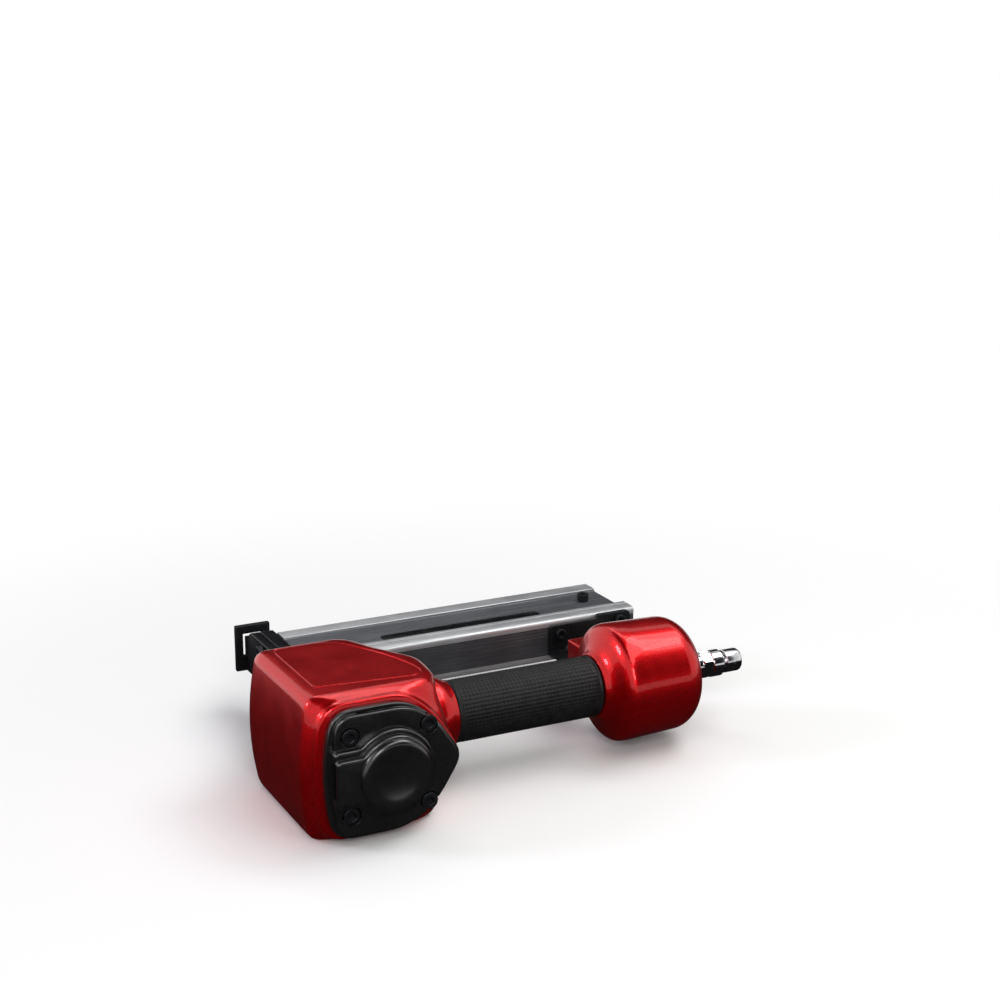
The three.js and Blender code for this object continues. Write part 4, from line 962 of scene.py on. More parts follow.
@dataclass
class CylinderCap:
    """Black cast cap: a rim, a raised platform, two tiers that end in the exhaust duct, and the dome."""

    back: float = -48.7
    rim: float = -52.0
    platform: float = -54.5
    top: float = -64.0
    inset: float = 0.3
    rim_edge: float = 0.6
    back_edge: float = 0.2
    rim_shares: tuple[float, ...] = (0.79, 0.895, 0.26, 0.63, 0.62, 1.03, 0.32)
    platform_shares: tuple[float, ...] = (0.76, 0.83, 0.27, 0.61, 0.6, 0.97, 0.24)
    platform_swell: float = 0.35
    platform_foot: float = 0.3
    platform_edge: float = 0.8
    duct_end: float = -29.6
    duct_corner: float = 2.0
    corner_arc: float = 3.2
    corner_run: float = 3.4
    tier_radius: float = 22.0
    tier_half: float = 14.8
    tier_top: float = -58.2
    upper_radius: float = 19.6
    upper_half: float = 11.4
    upper_top: float = -61.3
    dome_radius: float = 18.3
    dome_round: float = 2.6
    dish: float = 10.5
    dish_depth: float = 0.25
    cavity: float = 18.0
    cavity_top: float = -57.3
    spring_room: float = 14.8
    spring_floor: float = -61.0
    outlet_half: float = 9.6
    outlet: Pair = (-58.7, -53.4)
    pocket: float = 5.0
    pocket_floor: float = -51.2
    slot_x: float = -16.0
    slot_length: float = 23.0
    slot_depth: float = 1.6
    # Height of the slot's two arcs at their ends, and how much higher they are in the middle.
    slot_arcs: Pairs = ((30.75, 0.1), (31.3, 1.0))
    bolt: SocketScrew = field(default_factory=lambda: SocketScrew(4.25, 3.4, 2.4, 15.0, 2.3, 1.8))
    bolt_seat: float = -51.5

    def plate(self) -> Form:
        """Skins rim and platform as one, each with its front edge rounded through a quarter turn."""
        edge, foot = self.rim_edge, self.platform_foot
        rim = [(self.back, self.inset + self.back_edge), (self.back - self.back_edge, self.inset),
               *rounded_edge(self.rim, self.inset, edge, edge, 6)]
        rise = [(self.rim - foot * (1 - math.cos(a)), -foot * (1 - math.sin(a))) for a in quarter(6)]
        rise += rounded_edge(self.platform, 0.0, self.platform_edge, self.platform_edge, 6)
        outlines = [OUTLINE.ring(self.rim_shares, inset) for _, inset in rim]
        outlines += [OUTLINE.ring(self.platform_shares, inset, self.platform_swell) for _, inset in rise]
        rings = np.stack(outlines)
        places = np.array([place for place, _ in rim + rise])[:, None]
        return skin(on_axis(Axis.Y, places, rings[..., 1], rings[..., 0]))

    def tier(self, radius: float, half: float, low: float, edge: float) -> Form:
        """A round hub that runs into a straight duct to the left.

        The outline is the circle of the radius up to its meeting with the lines at plus and minus the half
        width, a parabola across that corner, and the duct's own rounded corners.

        Args:
            radius: radius of the hub.
            half: half the duct's width.
            low: the tier's front place along the driving line.
            edge: radius of its rims.

        Returns:
            The tier.
        """
        meet = math.pi - math.asin(half / radius)
        arc = np.linspace(0, meet - self.corner_arc / radius, 40)
        hub = radius * np.stack([np.cos(arc), np.sin(arc)], axis=1)
        corner = np.array([radius * math.cos(meet), half])
        bend = parabola(hub[-1], corner, corner - [self.corner_run, 0], np.linspace(0, 1, 9)[1:, None])
        left = rounded_edge(self.duct_end, half, self.duct_corner, -self.duct_corner, 7)
        upper = np.vstack([hub, bend, left])
        lower = upper[1:][::-1] * [1, -1]
        return prism(Axis.Y, np.vstack([upper, lower])[:, ::-1], low, self.back - OVER, edge, 6)

    def dome(self) -> Form:
        """The turned dome with its rounded shoulder and a shallow dish on top."""
        shoulder = rounded_edge(self.top, self.dome_radius, self.dome_round, -self.dome_round, 10)
        floor = self.top + self.dish_depth
        profile = [(self.back - OVER, self.dome_radius), *shoulder, (self.top, self.dish + 0.5),
                   (floor, self.dish), (floor, 0.0)]
        return turned(Axis.Y, np.array(profile))

    def slot(self) -> Form:
        """The crescent slot between the platform and the head, a strip between two arcs."""
        share = np.linspace(0, 1, 24)
        x = self.slot_x + self.slot_length * share
        bow = 4 * share * (1 - share)
        low, high = (np.stack([z + rise * bow, x], axis=1) for z, rise in self.slot_arcs)
        return prism(Axis.Y, np.vstack([low, high[::-1]]), self.rim - OVER, self.rim + self.slot_depth)

    def build(self) -> None:
        """Makes the cap and its four bolts."""
        lower = self.tier(self.tier_radius, self.tier_half, self.tier_top, 1.1)
        upper = self.tier(self.upper_radius, self.upper_half, self.upper_top, 1.3)
        outlet = rectangle((-self.outlet_half, self.outlet_half), (self.duct_end - OVER, 0.0))
        cuts = [bar(Axis.Y, self.cavity, self.cavity_top, self.back + OVER, sides=96),
                bar(Axis.Y, self.spring_room, self.spring_floor, self.back, sides=96),
                prism(Axis.Y, outlet, *self.outlet), self.slot()]
        for at in pattern(CAP_BOLT_PITCH):
            cuts += drilled(Axis.Y, self.pocket, self.top - OVER, self.pocket_floor, [at], 48)
            cuts += drilled(Axis.Y, BOLT_HOLE, self.pocket_floor - OVER, self.back + OVER, [at])
        piece("cylinder_cap_cast", BLACK_PAINT, "cylinder_cap", self.plate(), [lower, upper, self.dome()],
              cuts, angle=32)
        seats = [(x, self.bolt_seat, z) for x, z in pattern(CAP_BOLT_PITCH)]
        self.bolt.fit_row("cap_bolt", Facing.FRONT, seats)


# Handle end: grip, tank and plug

@dataclass
class GripSleeve:
    """Rubber sleeve on the handle tube, with rows of small raised dots."""

    start: float = 55.0
    end: float = 139.5
    radius: float = 16.5
    bore: float = 13.8
    dot_height: float = 0.45
    dot_pitch: float = 2.1
    dot_power: float = 1.5
    points_per_dot: int = 6
    rings_per_dot: float = 5.4
    margin: float = 0.8
    rim: float = 15.6
    plain: float = 3.2
    notch_half: float = 9.5
    notch_depth: float = 6.0
    notch_end: float = 64.5

    def build(self) -> None:
        """Turns the sleeve and cuts the trigger's notch out of it.

        Each dot is a power of the size of cos(pi x / p) cos(n a / 2) with the pitch p and n dots round the
        sleeve, so that every other row lies half a pitch on.
        """
        around = int(TURN * self.radius / self.dot_pitch)
        sides = around * self.points_per_dot
        angle = np.arange(sides) * TURN / sides
        count = int((self.end - self.start) / self.dot_pitch * self.rings_per_dot)
        x = np.linspace(self.start + self.margin, self.end - self.margin, count)
        ends = np.clip(np.minimum(x - self.start, self.end - x) / self.plain - 0.5, 0, 1)[:, None]
        wave = np.cos(math.pi * (x / self.dot_pitch))[:, None] * np.cos(angle * around / 2)
        dots = np.abs(wave) ** self.dot_power * ends
        outer = self.radius - self.dot_height * (1 - dots) * (ends > 0)
        rows = [(self.start, self.bore), (self.start, self.rim), *zip(x, outer), (self.end, self.rim),
                (self.end, self.bore)]
        sleeve = ringed(Axis.X, rows, sides, closed=True)
        notch = room((self.start - OVER, self.notch_end), (self.notch_depth, self.radius + OVER),
                     (-self.notch_half, self.notch_half))
        piece("dotted_grip_sleeve", GRIP_RUBBER, "grip_sleeve", sleeve, [], [notch], angle=60)


@dataclass
class AirTank:
    """Red tank on the handle's end: flared shoulder, rounded rim, and the lug for the bracket."""

    start: float = 139.8
    end: float = 196.8
    shoulder: float = 152.5
    # Places and radii of the shoulder from the grip's end on, less the small fillet at its start.
    flare: Pairs = (
        (140.2, 17.3), (142.2, 19.2), (143.9, 21.8), (145.2, 24.6), (146.8, 28.0), (148.6, 30.4),
        (150.4, 31.6), (152.5, 32.0))
    radius: float = 32.0
    end_radius: float = 31.0
    rim: float = 13.6
    wall: float = 2.6
    bore: float = 5.5
    boss: float = 10.0
    boss_deep: float = 5.0
    room: float = 13.8
    room_end: float = 150.0
    taper: Pairs = ((160.0, 31.85), (172.0, 31.4))
    lug: Pairs = ((150.5, 166.0), (28.9, 46.0), (-10.0, 10.0))
    lug_hole_start: float = 38.6

    def build(self) -> None:
        """Turns the shell from the grip over the shoulder, the rim and the room inside, and joins the lug."""
        turn = quarter(26)
        sin, cos = np.sin(turn), np.cos(turn)
        rim_x = self.end - self.rim
        inner = self.rim - self.wall
        rim = np.stack([rim_x + self.rim * sin, self.end_radius - self.rim * (1 - cos)], axis=1)
        inner_rim = np.stack([rim_x + inner * sin, self.end_radius - self.wall - inner * (1 - cos)], axis=1)
        hub = self.end - self.boss_deep
        profile = np.vstack([
            [[self.start, self.room], [self.start, self.flare[0][1] - 0.4]], smooth_profile(self.flare, 30),
            self.taper, rim,
            [[self.end, self.bore + 0.5], [self.end - 0.5, self.bore], [hub, self.bore], [hub, self.boss],
             [self.end - self.wall, self.boss]],
            inner_rim[::-1], [[self.shoulder + self.wall, self.radius - self.wall],
                              [self.room_end, self.room]]])
        holes = drilled(Axis.Y, SCREW_HOLE, self.lug_hole_start, self.lug[1][1] + OVER, LUG_PLACES)
        piece("air_tank_cast", CANDY_PAINT, "air_tank", turned(Axis.X, profile, sides=160, closed=True),
              [block(self.lug, 1.0, 1.6)], holes, angle=38)


@dataclass
class AirPlug:
    """Quick-connect plug: thread, collar, hexagon, ring, groove and barrel, bored through."""

    start: float = 189.8
    bore: float = 3.4
    thread: float = 5.2
    thread_depth: float = 0.35
    thread_step: float = 0.25
    thread_rows: int = 28
    sides: int = 144
    # Places along X with their radii: the collar with its groove, and then ring, groove, barrel and mouth.
    collar: Pairs = (
        (197.1, 5.2), (197.1, 6.3), (197.4, 6.6), (200.6, 6.6), (200.9, 6.25), (202.2, 6.25), (202.5, 6.6),
        (207.2, 6.6), (207.6, 6.4))
    barrel: Pairs = (
        (214.0, 6.9), (214.4, 7.4), (220.3, 7.4), (220.8, 6.9), (220.8, 4.8), (223.2, 4.8), (223.2, 6.0),
        (223.6, 6.4), (231.6, 6.4), (232.3, 6.2), (232.8, 5.8), (233.0, 5.4), (233.0, 3.9), (232.5, 3.4))
    # Places of the hexagon's rings with the radius of the cone that cuts its corners there.
    hexagon: Pairs = ((207.6, 7.1), (208.3, 7.95), (213.3, 7.95), (214.0, 7.1))
    hexagon_corner: float = 7.9

    def build(self) -> None:
        """Stacks the rings along X; every thread is two low and two high ones."""
        six = hexagon(self.hexagon_corner, np.arange(self.sides) * TURN / self.sides)
        rows = [(self.start, self.bore), (self.start, self.thread - 0.5)]
        rows += [(self.start + self.thread_step * i,
                  self.thread - (self.thread_depth if i % 4 in (1, 2) else 0.0))
                 for i in range(1, self.thread_rows)]
        rows += [*self.collar, *[(x, np.minimum(six, cone)) for x, cone in self.hexagon], *self.barrel]
        piece("nickel_air_plug", NICKEL, "air_plug", ringed(Axis.X, rows, self.sides, closed=True), angle=25)


# Magazine

@dataclass
class Magazine:
    """Aluminium rail with beaded edges, the sliding cover with its raised strip and label, and its screws."""

    start: float = 7.0
    end: float = 209.0
    front: float = 72.0
    back: float = 123.0
    half: float = 12.5
    block_end: float = 84.0
    bead: float = 3.6
    tongue_half: float = 7.6
    tongue_end: float = 117.5
    channel_half: float = 1.1
    channel_start: float = 88.5
    room: Pair = (97.0, 106.0)
    room_half: float = 4.2
    hollow: Pair = (75.5, 81.0)
    hollow_half: float = 8.0
    # A fine groove along each side of the rail, and the notch that the latch's tooth enters.
    groove: tuple[float, ...] = (80.2, 80.4, 80.8, 81.0)
    groove_depth: float = 0.35
    notch: Pairs = ((203.1, 207.2), (71.0, 72.9), (-11.1, -6.1))
    rail_end: float = 182.0
    cover_end: float = 205.0
    cover_front: float = 84.4
    plate_half: float = 11.0
    strip_start: float = 112.0
    inside_half: float = 8.1
    floor: float = 118.4
    line_deep: float = 0.12
    screw: SocketScrew = field(default_factory=lambda: SocketScrew(3.4, 4.0, 1.9, 8.0, 1.7, 1.6))
    label: Pairs = ((57.0, 156.0), (85.8, 94.6), (10.8, 11.22))

    def fine_lines(self, low: float, high: float, level: float, count: int) -> Array:
        """Draws die lines across a wall.

        Args:
            low: where they start.
            high: where they end.
            level: the wall's own level.
            count: number of lines.

        Returns:
            Points of shape (n, 2) whose level dips at every other one.
        """
        y = np.linspace(low, high, 2 * count + 1)
        return np.stack([y, level - self.line_deep * (np.arange(len(y)) % 2)], axis=1)

    def rail(self) -> None:
        """Carries the rail's outline along X, then takes out the hollow, the latch's notch and the holes."""
        deep = self.half - self.groove_depth
        upper = [(self.front, self.half, self.bead), *zip(self.groove, (self.half, deep, deep, self.half),
                                                          (0, 0, 0, 0)),
                 (self.block_end, self.half, 0.6), (self.block_end, self.tongue_half, 0),
                 (self.tongue_end, self.tongue_half, 0.5), (self.tongue_end, self.channel_half, 0),
                 (self.room[1], self.channel_half, 0), (self.room[1], self.room_half, 0),
                 (self.room[0], self.room_half, 0), (self.room[0], self.channel_half, 0),
                 (self.channel_start, self.channel_half, 0)]
        flat = self.half - self.bead - 0.4
        lines = [(-level, z, 0) for z, level in self.fine_lines(-flat, flat, -self.front, 9)]
        body = prism(Axis.X, outline_of([*mirrored(upper), *lines]), self.start, self.end, 0.2, 3)
        beyond = room((self.rail_end, self.end + OVER), (self.block_end, self.tongue_end + OVER),
                      (-self.half - OVER, self.half + OVER))
        hollow = prism(Axis.X, rectangle(self.hollow, (-self.hollow_half, self.hollow_half), 1.2),
                       self.start - OVER, self.end + OVER)
        holes = drilled(Axis.Y, SCREW_HOLE, self.front - OVER, self.hollow[0] + OVER, RAIL_PLACES)
        thing = piece("magazine_rail_extrusion", ANODISED, "magazine_rail", body, [],
                      [beyond, hollow, room(*self.notch), *holes])
        # The beads take the paler copy of the finish: a painted highlight.
        paint_highlight_faces(thing, PAINTED_HIGHLIGHT_ALUMINIUM, lambda at: (np.abs(at[:, 2]) > self.half - self.bead + 0.1)
                 & (at[:, 1] < self.block_end))

    def cover(self) -> None:
        """Carries the cover's outline along X, bores its two screw holes, and lays on the label's film."""
        plate = self.fine_lines(self.cover_front + 0.8, self.strip_start - 1.2, self.plate_half, 20)
        upper = [(self.floor, self.inside_half, 0), (self.cover_front, self.inside_half, 0),
                 (self.cover_front, self.plate_half, 0.4), *[(y, z, 0) for y, z in plate],
                 (self.strip_start - 0.3, self.plate_half, 0.5), (self.strip_start + 0.2, self.half, 0.5),
                 (self.back, self.half, 1.1)]
        body = prism(Axis.X, outline_of(mirrored(upper)), self.start + 0.3, self.cover_end, 0.2, 3)
        holes = drilled(Axis.Z, SCREW_HOLE, -self.half - OVER, self.half + OVER, [END_SCREW_PLACE])
        thing = piece("magazine_cover_extrusion", ANODISED, "magazine_cover", body, [], holes, Body.COVER)
        # The raised strip takes the same painted highlight.
        paint_highlight_faces(thing, PAINTED_HIGHLIGHT_ALUMINIUM, lambda at: at[:, 1] > self.strip_start + 0.1)
        film = mesh_object("black_label_film", block(self.label, 0.1, 4.2))
        dress(film, LABEL_FILM, body=Body.COVER, angle=35)

    def build(self) -> None:
        """Makes the rail, the cover with its bare label, and the two screws of the end block."""
        self.rail()
        self.cover()
        for number, (facing, side) in enumerate(((Facing.UP, 1), (Facing.DOWN, -1)), 1):
            self.screw.fit(f"end_block_screw_{number}", facing,
                           (*END_SCREW_PLACE, side * (self.plate_half + 0.3)), Body.COVER)


# Springs

@dataclass
class CoilSpring:
    """A wire spring of a given radius, wire, turns and length."""

    node: str
    joint: str
    radius: float
    wire: float
    curls: float
    length: float
    facing: Facing
    foot: Triple
    axis: Axis
    anchor: float
    keep: float
    body: Body = Body.HOUSING

    def build(self) -> None:
        """Makes the coil and gives it a mesh of its own."""
        form = self.facing.carry(helix(self.radius, self.wire, self.curls, self.length), self.foot)
        spring = piece(f"{self.node}_coil", GROUND_STEEL, self.node, form, body=self.body, angle=60)
        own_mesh(spring)


SPRINGS = (
    CoilSpring("safety_spring", "contact_arm_push", 1.75, 0.6, 8, 17.4, Facing.FRONT, (10.4, 87.7, -14.5),
               Axis.Y, 70.3, 0.598),
    CoilSpring("head_valve_spring", "head_valve_lift", 13.0, 1.5, 3, 7.6, Facing.FRONT, (0.0, -53.1, 0.0),
               Axis.Y, -60.7, 0.474),
    CoilSpring("valve_spring", "valve_stem_push", 3.2, 0.6, 3, 3.4, Facing.FRONT, (50.0, 7.7, 0.0),
               Axis.Y, 4.3, 0.412),
    CoilSpring("pusher_spring", "pusher_slide", 2.35, 0.7, 46, 164.0, Facing.RIGHT, (19.3, 101.5, 0.0),
               Axis.X, 183.3, 0.268, Body.COVER),
    CoilSpring("latch_spring", "latch_swing", 1.1, 0.45, 6, 12.0, Facing.FRONT, (219.4, 83.3, -8.6),
               Axis.Y, 83.3, 0.885, Body.COVER),
)


# Nose, bracket, end block and latch

@dataclass
class Nose:
    """Guide behind the driver blade with its flange, the plate in front of it, and their screws."""

    start: float = 46.3
    flange_end: float = 51.0
    shoulder: float = 130.0
    tip: float = 143.0
    half: float = 12.5
    tip_half: float = 6.0
    rear: float = 6.7
    face: float = 0.8
    front: float = 6.5
    tip_x: float = 5.0
    gap: float = 0.3
    screw_pitch: float = 8.0
    screw_rows: Pair = (62.0, 108.0)
    screw_hole: float = 1.9
    blade_hole: float = 5.5
    flange_half: Pair = (12.2, 19.0)
    groove_rear: float = 1.0
    groove_start: float = 50.0
    groove_half: float = 2.9
    # Spans in Y and Z of the slot that the brads come through, and in X, Y and Z of the spring's tab.
    feed: Pairs = ((86.0, 119.0), (-1.1, 1.1))
    tab: Pairs = ((5.6, 14.0), (68.0, 70.0), (-17.5, -9.0))
    bolt: SocketScrew = field(default_factory=lambda: SocketScrew(4.25, 3.4, 2.4, 11.0, 2.3, 1.8))
    screw: SocketScrew = field(default_factory=lambda: SocketScrew(3.4, 3.0, 1.6, 9.0, 1.7, 1.4))

    def places(self) -> list[Pair]:
        """Places of the plate's screws in Y and Z."""
        return [(y, side * self.screw_pitch) for y in self.screw_rows for side in (1, -1)]

    def build(self) -> None:
        """Makes guide and plate; both narrow to the tip with rounded shoulders."""
        spans = [(-half, half) for half in self.flange_half]
        flange = prism(Axis.Y, rectangle(*spans, 4.0), self.start, self.flange_end, 0.6)
        outline = outline_of(mirrored([
            (self.start, -self.half, 0), (self.shoulder, -self.half, 4.0),
            (self.shoulder + 4, -self.tip_half, 2.0), (self.tip, -self.tip_half, 0.8)]))
        guide = prism(Axis.X, outline, -self.face, self.rear, 0.5)
        behind, ahead = self.rear + OVER, -self.front - OVER
        tip_spans = ((self.shoulder + 3, self.tip + OVER), (-8.0, 8.0))
        through = drilled(Axis.X, self.screw_hole, ahead, behind, self.places())
        cuts = [room((self.tip_x, behind), *tip_spans),
                room((-self.face - OVER, self.groove_rear), (self.groove_start, self.tip + OVER),
                     (-self.groove_half, self.groove_half)),
                bar(Axis.Y, self.blade_hole, self.start - OVER, self.flange_end),
                room((0.0, behind), *self.feed),
                *drilled(Axis.Y, BOLT_HOLE, self.start - OVER, self.flange_end + OVER,
                         pattern(NOSE_BOLT_PITCH)), *through]
        piece("nose_guide", BLACK_OXIDE, "nose_body", flange, [guide, block(self.tab, 0.3, 1.0)], cuts)
        front = np.stack([np.maximum(outline[:, 0], self.flange_end + self.gap), outline[:, 1]], axis=1)
        piece("nose_front_plate", BLACK_OXIDE, "nose_plate",
              prism(Axis.X, front, -self.front, -self.face - self.gap, 0.5), [],
              [room((ahead, -self.tip_x), *tip_spans), *through])
        seat, face = self.flange_end + self.gap, -self.front - self.gap
        self.bolt.fit_row("nose_bolt", Facing.BACK, [(x, seat, z) for x, z in pattern(NOSE_BOLT_PITCH)])
        self.screw.fit_row("plate_screw", Facing.LEFT, [(face, y, z) for y, z in self.places()])


@dataclass
class RearBracket:
    """Bent steel bracket between the rail's wall and the tank's lug, with its four screws."""

    start: float = 152.2
    lug_end: float = 166.0
    gap: float = 0.3
    # The flange's corners in X and Z with their roundings.
    corners: Triples = (
        (152.2, -8.0, 0.8), (166.0, -8.0, 0.8), (166.0, -5.0, 0.5), (205.0, -5.0, 2.5), (205.0, 12.2, 3.5),
        (183.0, 12.2, 1.5), (183.0, 10.0, 1.0), (152.2, 10.0, 2.5))
    face: Pair = (69.0, 71.7)
    foot: Pair = (46.3, 49.0)
    web: Pair = (-8.0, -5.3)
    screw: SocketScrew = field(default_factory=lambda: SocketScrew(3.2, 3.0, 1.9, 7.4, 1.8, 1.5))

    def build(self) -> None:
        """Carries the flange's outline along Y and joins web and foot."""
        outline = outline_of([(z, x, rounding) for x, z, rounding in self.corners])
        flange = prism(Axis.Y, outline, *self.face, 0.4)
        web = block(((self.start, self.lug_end), (self.foot[0], self.face[1]), self.web), 0.4, 1.2)
        foot = block(((self.start, self.lug_end), self.foot, (-8.0, 8.0)), 0.4, 0.8)
        cuts = drilled(Axis.Y, SCREW_HOLE, self.face[0] - OVER, self.face[1] + OVER, RAIL_PLACES)
        cuts += drilled(Axis.Y, SCREW_HOLE, self.foot[0] - OVER, self.foot[1] + OVER, LUG_PLACES)
        piece("rear_bracket_plate", BLACK_OXIDE, "rear_bracket", flange, [web, foot], cuts)
        seat, under = self.face[0] - self.gap, self.foot[1] + self.gap
        self.screw.fit_row("rail_screw", Facing.FRONT, [(x, seat, z) for x, z in RAIL_PLACES])
        self.screw.fit_row("lug_bolt", Facing.BACK, [(x, under, z) for x, z in LUG_PLACES])


@dataclass
class MagazineEnd:
    """Black block in the cover's end with two ears, and the latch lever that turns between them."""

    # Plug, neck, bridge and ears: spans along X, Y and Z, and the rounding of rims and of uprights.
    parts: tuple[tuple, ...] = (
        (((183.6, 205.0), (86.0, 118.1), (-7.8, 7.8)), 0.5, 1.0),
        (((204.0, 208.3), (86.0, 112.0), (-7.8, 7.8)), 0.5, 1.2),
        (((205.3, 221.4), (86.0, 112.0), (-12.4, -4.6)), 0.5, 3.0),
        (((209.5, 221.4), (74.0, 87.5), (-12.4, -4.6)), 0.5, 2.5))
    slot: Pairs = ((209.0, 222.4), (73.0, 83.6), (-11.1, -6.1))
    rod_hole: float = 1.5
    rod_at: Pair = (101.5, 0.0)
    rod_span: Pair = (182.6, 189.9)
    screw_span: Pair = (3.0, 8.8)
    # Stem, arm, tooth and tail of the lever, in the same order of numbers.
    lever: tuple[tuple, ...] = (
        (((210.4, 216.6), (68.4, 80.0), (-10.8, -6.4)), 0.4, 0.8),
        (((203.4, 213.5), (68.4, 71.4), (-10.8, -6.4)), 0.4, 0.8),
        (((203.4, 206.4), (68.4, 72.5), (-10.8, -6.4)), 0.4, 0.5),
        (((213.5, 221.5), (68.4, 71.0), (-10.8, -6.4)), 0.4, 0.9))
    pivot: Pair = (213.5, 80.0)
    pin_span: Pair = (-13.4, -3.6)
    eye: float = 3.1
    eye_levels: Pair = (-10.8, -6.4)

    def build(self) -> None:
        """Makes the end block and the latch, both with the holes of their pins and screws."""
        pin = drilled(Axis.Z, PIN_HOLE, *self.pin_span, [self.pivot])
        near, far = self.screw_span
        cuts = [room(*self.slot), *pin, *drilled(Axis.X, self.rod_hole, *self.rod_span, [self.rod_at]),
                *drilled(Axis.Z, SCREW_HOLE, near, far, [END_SCREW_PLACE]),
                *drilled(Axis.Z, SCREW_HOLE, -far, -near, [END_SCREW_PLACE])]
        plug, *others = blocks(self.parts)
        piece("magazine_end_block_moulded", BLACK_PAINT, "magazine_end_block", plug, others, cuts, Body.COVER)
        stem, *others = blocks(self.lever)
        eye = prism(Axis.Z, circle(self.pivot, self.eye), *self.eye_levels, 0.4)
        piece("latch_lever_pressed", BLACK_OXIDE, "latch_lever", stem, [*others, eye], pin, Body.LATCH)


# Trigger and contact arm

@dataclass
class Trigger:
    """Pressed channel with a curved finger pad, its pin at the front and the lever's pin inside."""

    lever_at: Pair = (58.0, 27.0)
    lever_hole: float = 1.4
    outer: float = 4.9
    inner: float = 3.4
    boss: float = 3.3
    # The pad's parabola in X and Y: its back end, the point that pulls it and its tip.
    curve: Pairs = ((64.5, 34.6), (55.25, 32.2), (46.0, 38.2))
    sheet: float = 2.2
    # Corners of the side next to the handle, behind the boss.
    top: Triples = ((44.0, 21.8, 2.0), (64.5, 24.4, 1.2))
    # What the room between the two plates reaches, in X and in Y, and where it leaves the pad.
    inside: Pairs = ((30.7, 65.5), (16.7, 39.2))
    inside_ends: Pairs = ((65.5, 32.4), (45.0, 39.2))

    def pad(self, lift: float) -> Array:
        """Draws the pad's parabola from its back end to its tip, lifted towards the handle."""
        return parabola(*(np.array(self.curve) - [0.0, lift]), np.linspace(0, 1, 20)[:, None])

    def build(self) -> None:
        """Carries the side view across the tool and takes out the room between the two plates."""
        x, y = TRIGGER_PIVOT
        side = [(x, y - self.boss, 1.5), *self.top, *[(px, py, 0.0) for px, py in self.pad(0.0)],
                (x - self.boss, y, 1.5)]
        body = prism(Axis.Z, outline_of(side), -self.outer, self.outer, 0.7)
        eye = prism(Axis.Z, circle(TRIGGER_PIVOT, self.boss), -self.outer, self.outer, 0.5)
        (low_x, high_x), (low_y, high_y) = self.inside
        inside = [(low_x, low_y), (high_x, low_y), self.inside_ends[0], *self.pad(self.sheet).tolist(),
                  self.inside_ends[1], (low_x, high_y)]
        across = (-self.outer - OVER, self.outer + OVER)
        cuts = [prism(Axis.Z, np.array(inside), -self.inner, self.inner),
                *drilled(Axis.Z, PIN_HOLE, *across, [TRIGGER_PIVOT]),
                *drilled(Axis.Z, self.lever_hole, *across, [self.lever_at])]
        piece("trigger_channel", BLACK_OXIDE, "trigger", body, [eye], cuts, Body.TRIGGER)


@dataclass
class ContactArm:
    """Bent steel arm: foot round the tip, strip under the magazine, cross bar, riser and trigger finger."""

    # Foot, strip, cross bar, riser, finger and the spring's seat: spans along X, Y and Z, and the rounding of
    # rims and of uprights.
    parts: tuple[tuple, ...] = (
        (((-10.0, 10.6), (143.9, 147.2), (-15.5, 11.5)), 0.6, 1.0),
        (((-4.0, 5.0), (58.0, 147.2), (-15.5, -13.0)), 0.4, 1.0),
        (((-4.0, 42.5), (58.0, 64.0), (-15.5, -13.0)), 0.4, 1.5),
        (((37.5, 42.5), (58.0, 61.0), (-15.5, 2.4)), 0.4, 0.8),
        (((37.5, 42.5), (27.8, 61.0), (-2.4, 2.4)), 0.4, 0.8),
        (((0.0, 13.6), (88.0, 90.0), (-17.5, -13.0)), 0.3, 0.8))
    opening: Pairs = ((-5.7, 5.7), (142.9, 148.2), (-6.7, 6.7))

    def build(self) -> None:
        """Joins its straight parts and opens the foot for the nose's tip."""
        foot, *others = blocks(self.parts)
        piece("contact_arm_bent", BLACK_OXIDE, "safety_arm", foot, others, [room(*self.opening)],
              Body.CONTACT_ARM)


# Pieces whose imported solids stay: each finish with the nodes that wear it.
KEPT = (
    (MACHINED_ALUMINIUM, ("head_valve_piston", "cylinder_sleeve", "drive_piston", "trigger_valve_body")),
    (GROUND_STEEL, ("driver_blade", "magazine_pusher", "pusher_rod", "latch_pin", "trigger_pin",
                    "trigger_lever", "lever_pin", "valve_stem")),
    (SEAL_RUBBER, ("tank_seal_ring", "head_valve_seal_ring", "sleeve_seal_ring", "piston_seal_ring", "bumper",
                   "valve_stem_seal_ring")),
    (FIBRE, ("cap_gasket",)),
)


def finish_kept() -> None:
    """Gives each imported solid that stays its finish."""
    for finish, names in KEPT:
        for name in names:
            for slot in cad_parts[name].material_slots:
                slot.material = material_of(finish)
            LOG.info("%s keeps its solid", name)


# Studio, with its places and sizes in metres

TOOL_MIDDLE = (0.09, 0.03, 0.04)


def towards(place: Sequence[float], target: Sequence[float]) -> Quaternion:
    """The turn that makes an object's own -Z point from a place to a target."""
    return (Vector(target) - Vector(place)).to_track_quat("-Z", "Y")


def card(name: str, corners: Array, surface: bpy.types.Material) -> bpy.types.Object:
    """Makes a flat card of the stage from four corners in metres."""
    mesh = bpy.data.meshes.new(name)
    mesh.from_pydata(corners.tolist(), [], [(0, 1, 2, 3)])
    mesh.materials.append(surface)
    thing = placed(name, mesh)
    return thing


@dataclass
class Softbox:
    """An area lamp that faces a point."""

    name: str
    place: Triple
    size: Pair
    watts: float
    colour: str = "#FFFFFF"
    shape: str = "RECTANGLE"
    target: Triple = TOOL_MIDDLE

    def build(self) -> None:
        """Adds the lamp and turns its face to the target."""
        lamp = bpy.data.lights.new(self.name, "AREA")
        lamp.shape, lamp.size, lamp.size_y = self.shape, *self.size
        lamp.energy = self.watts
        lamp.color = linear(self.colour)[:3]
        thing = placed(self.name, lamp)
        thing.location = self.place
        thing.rotation_euler = towards(self.place, self.target).to_euler()


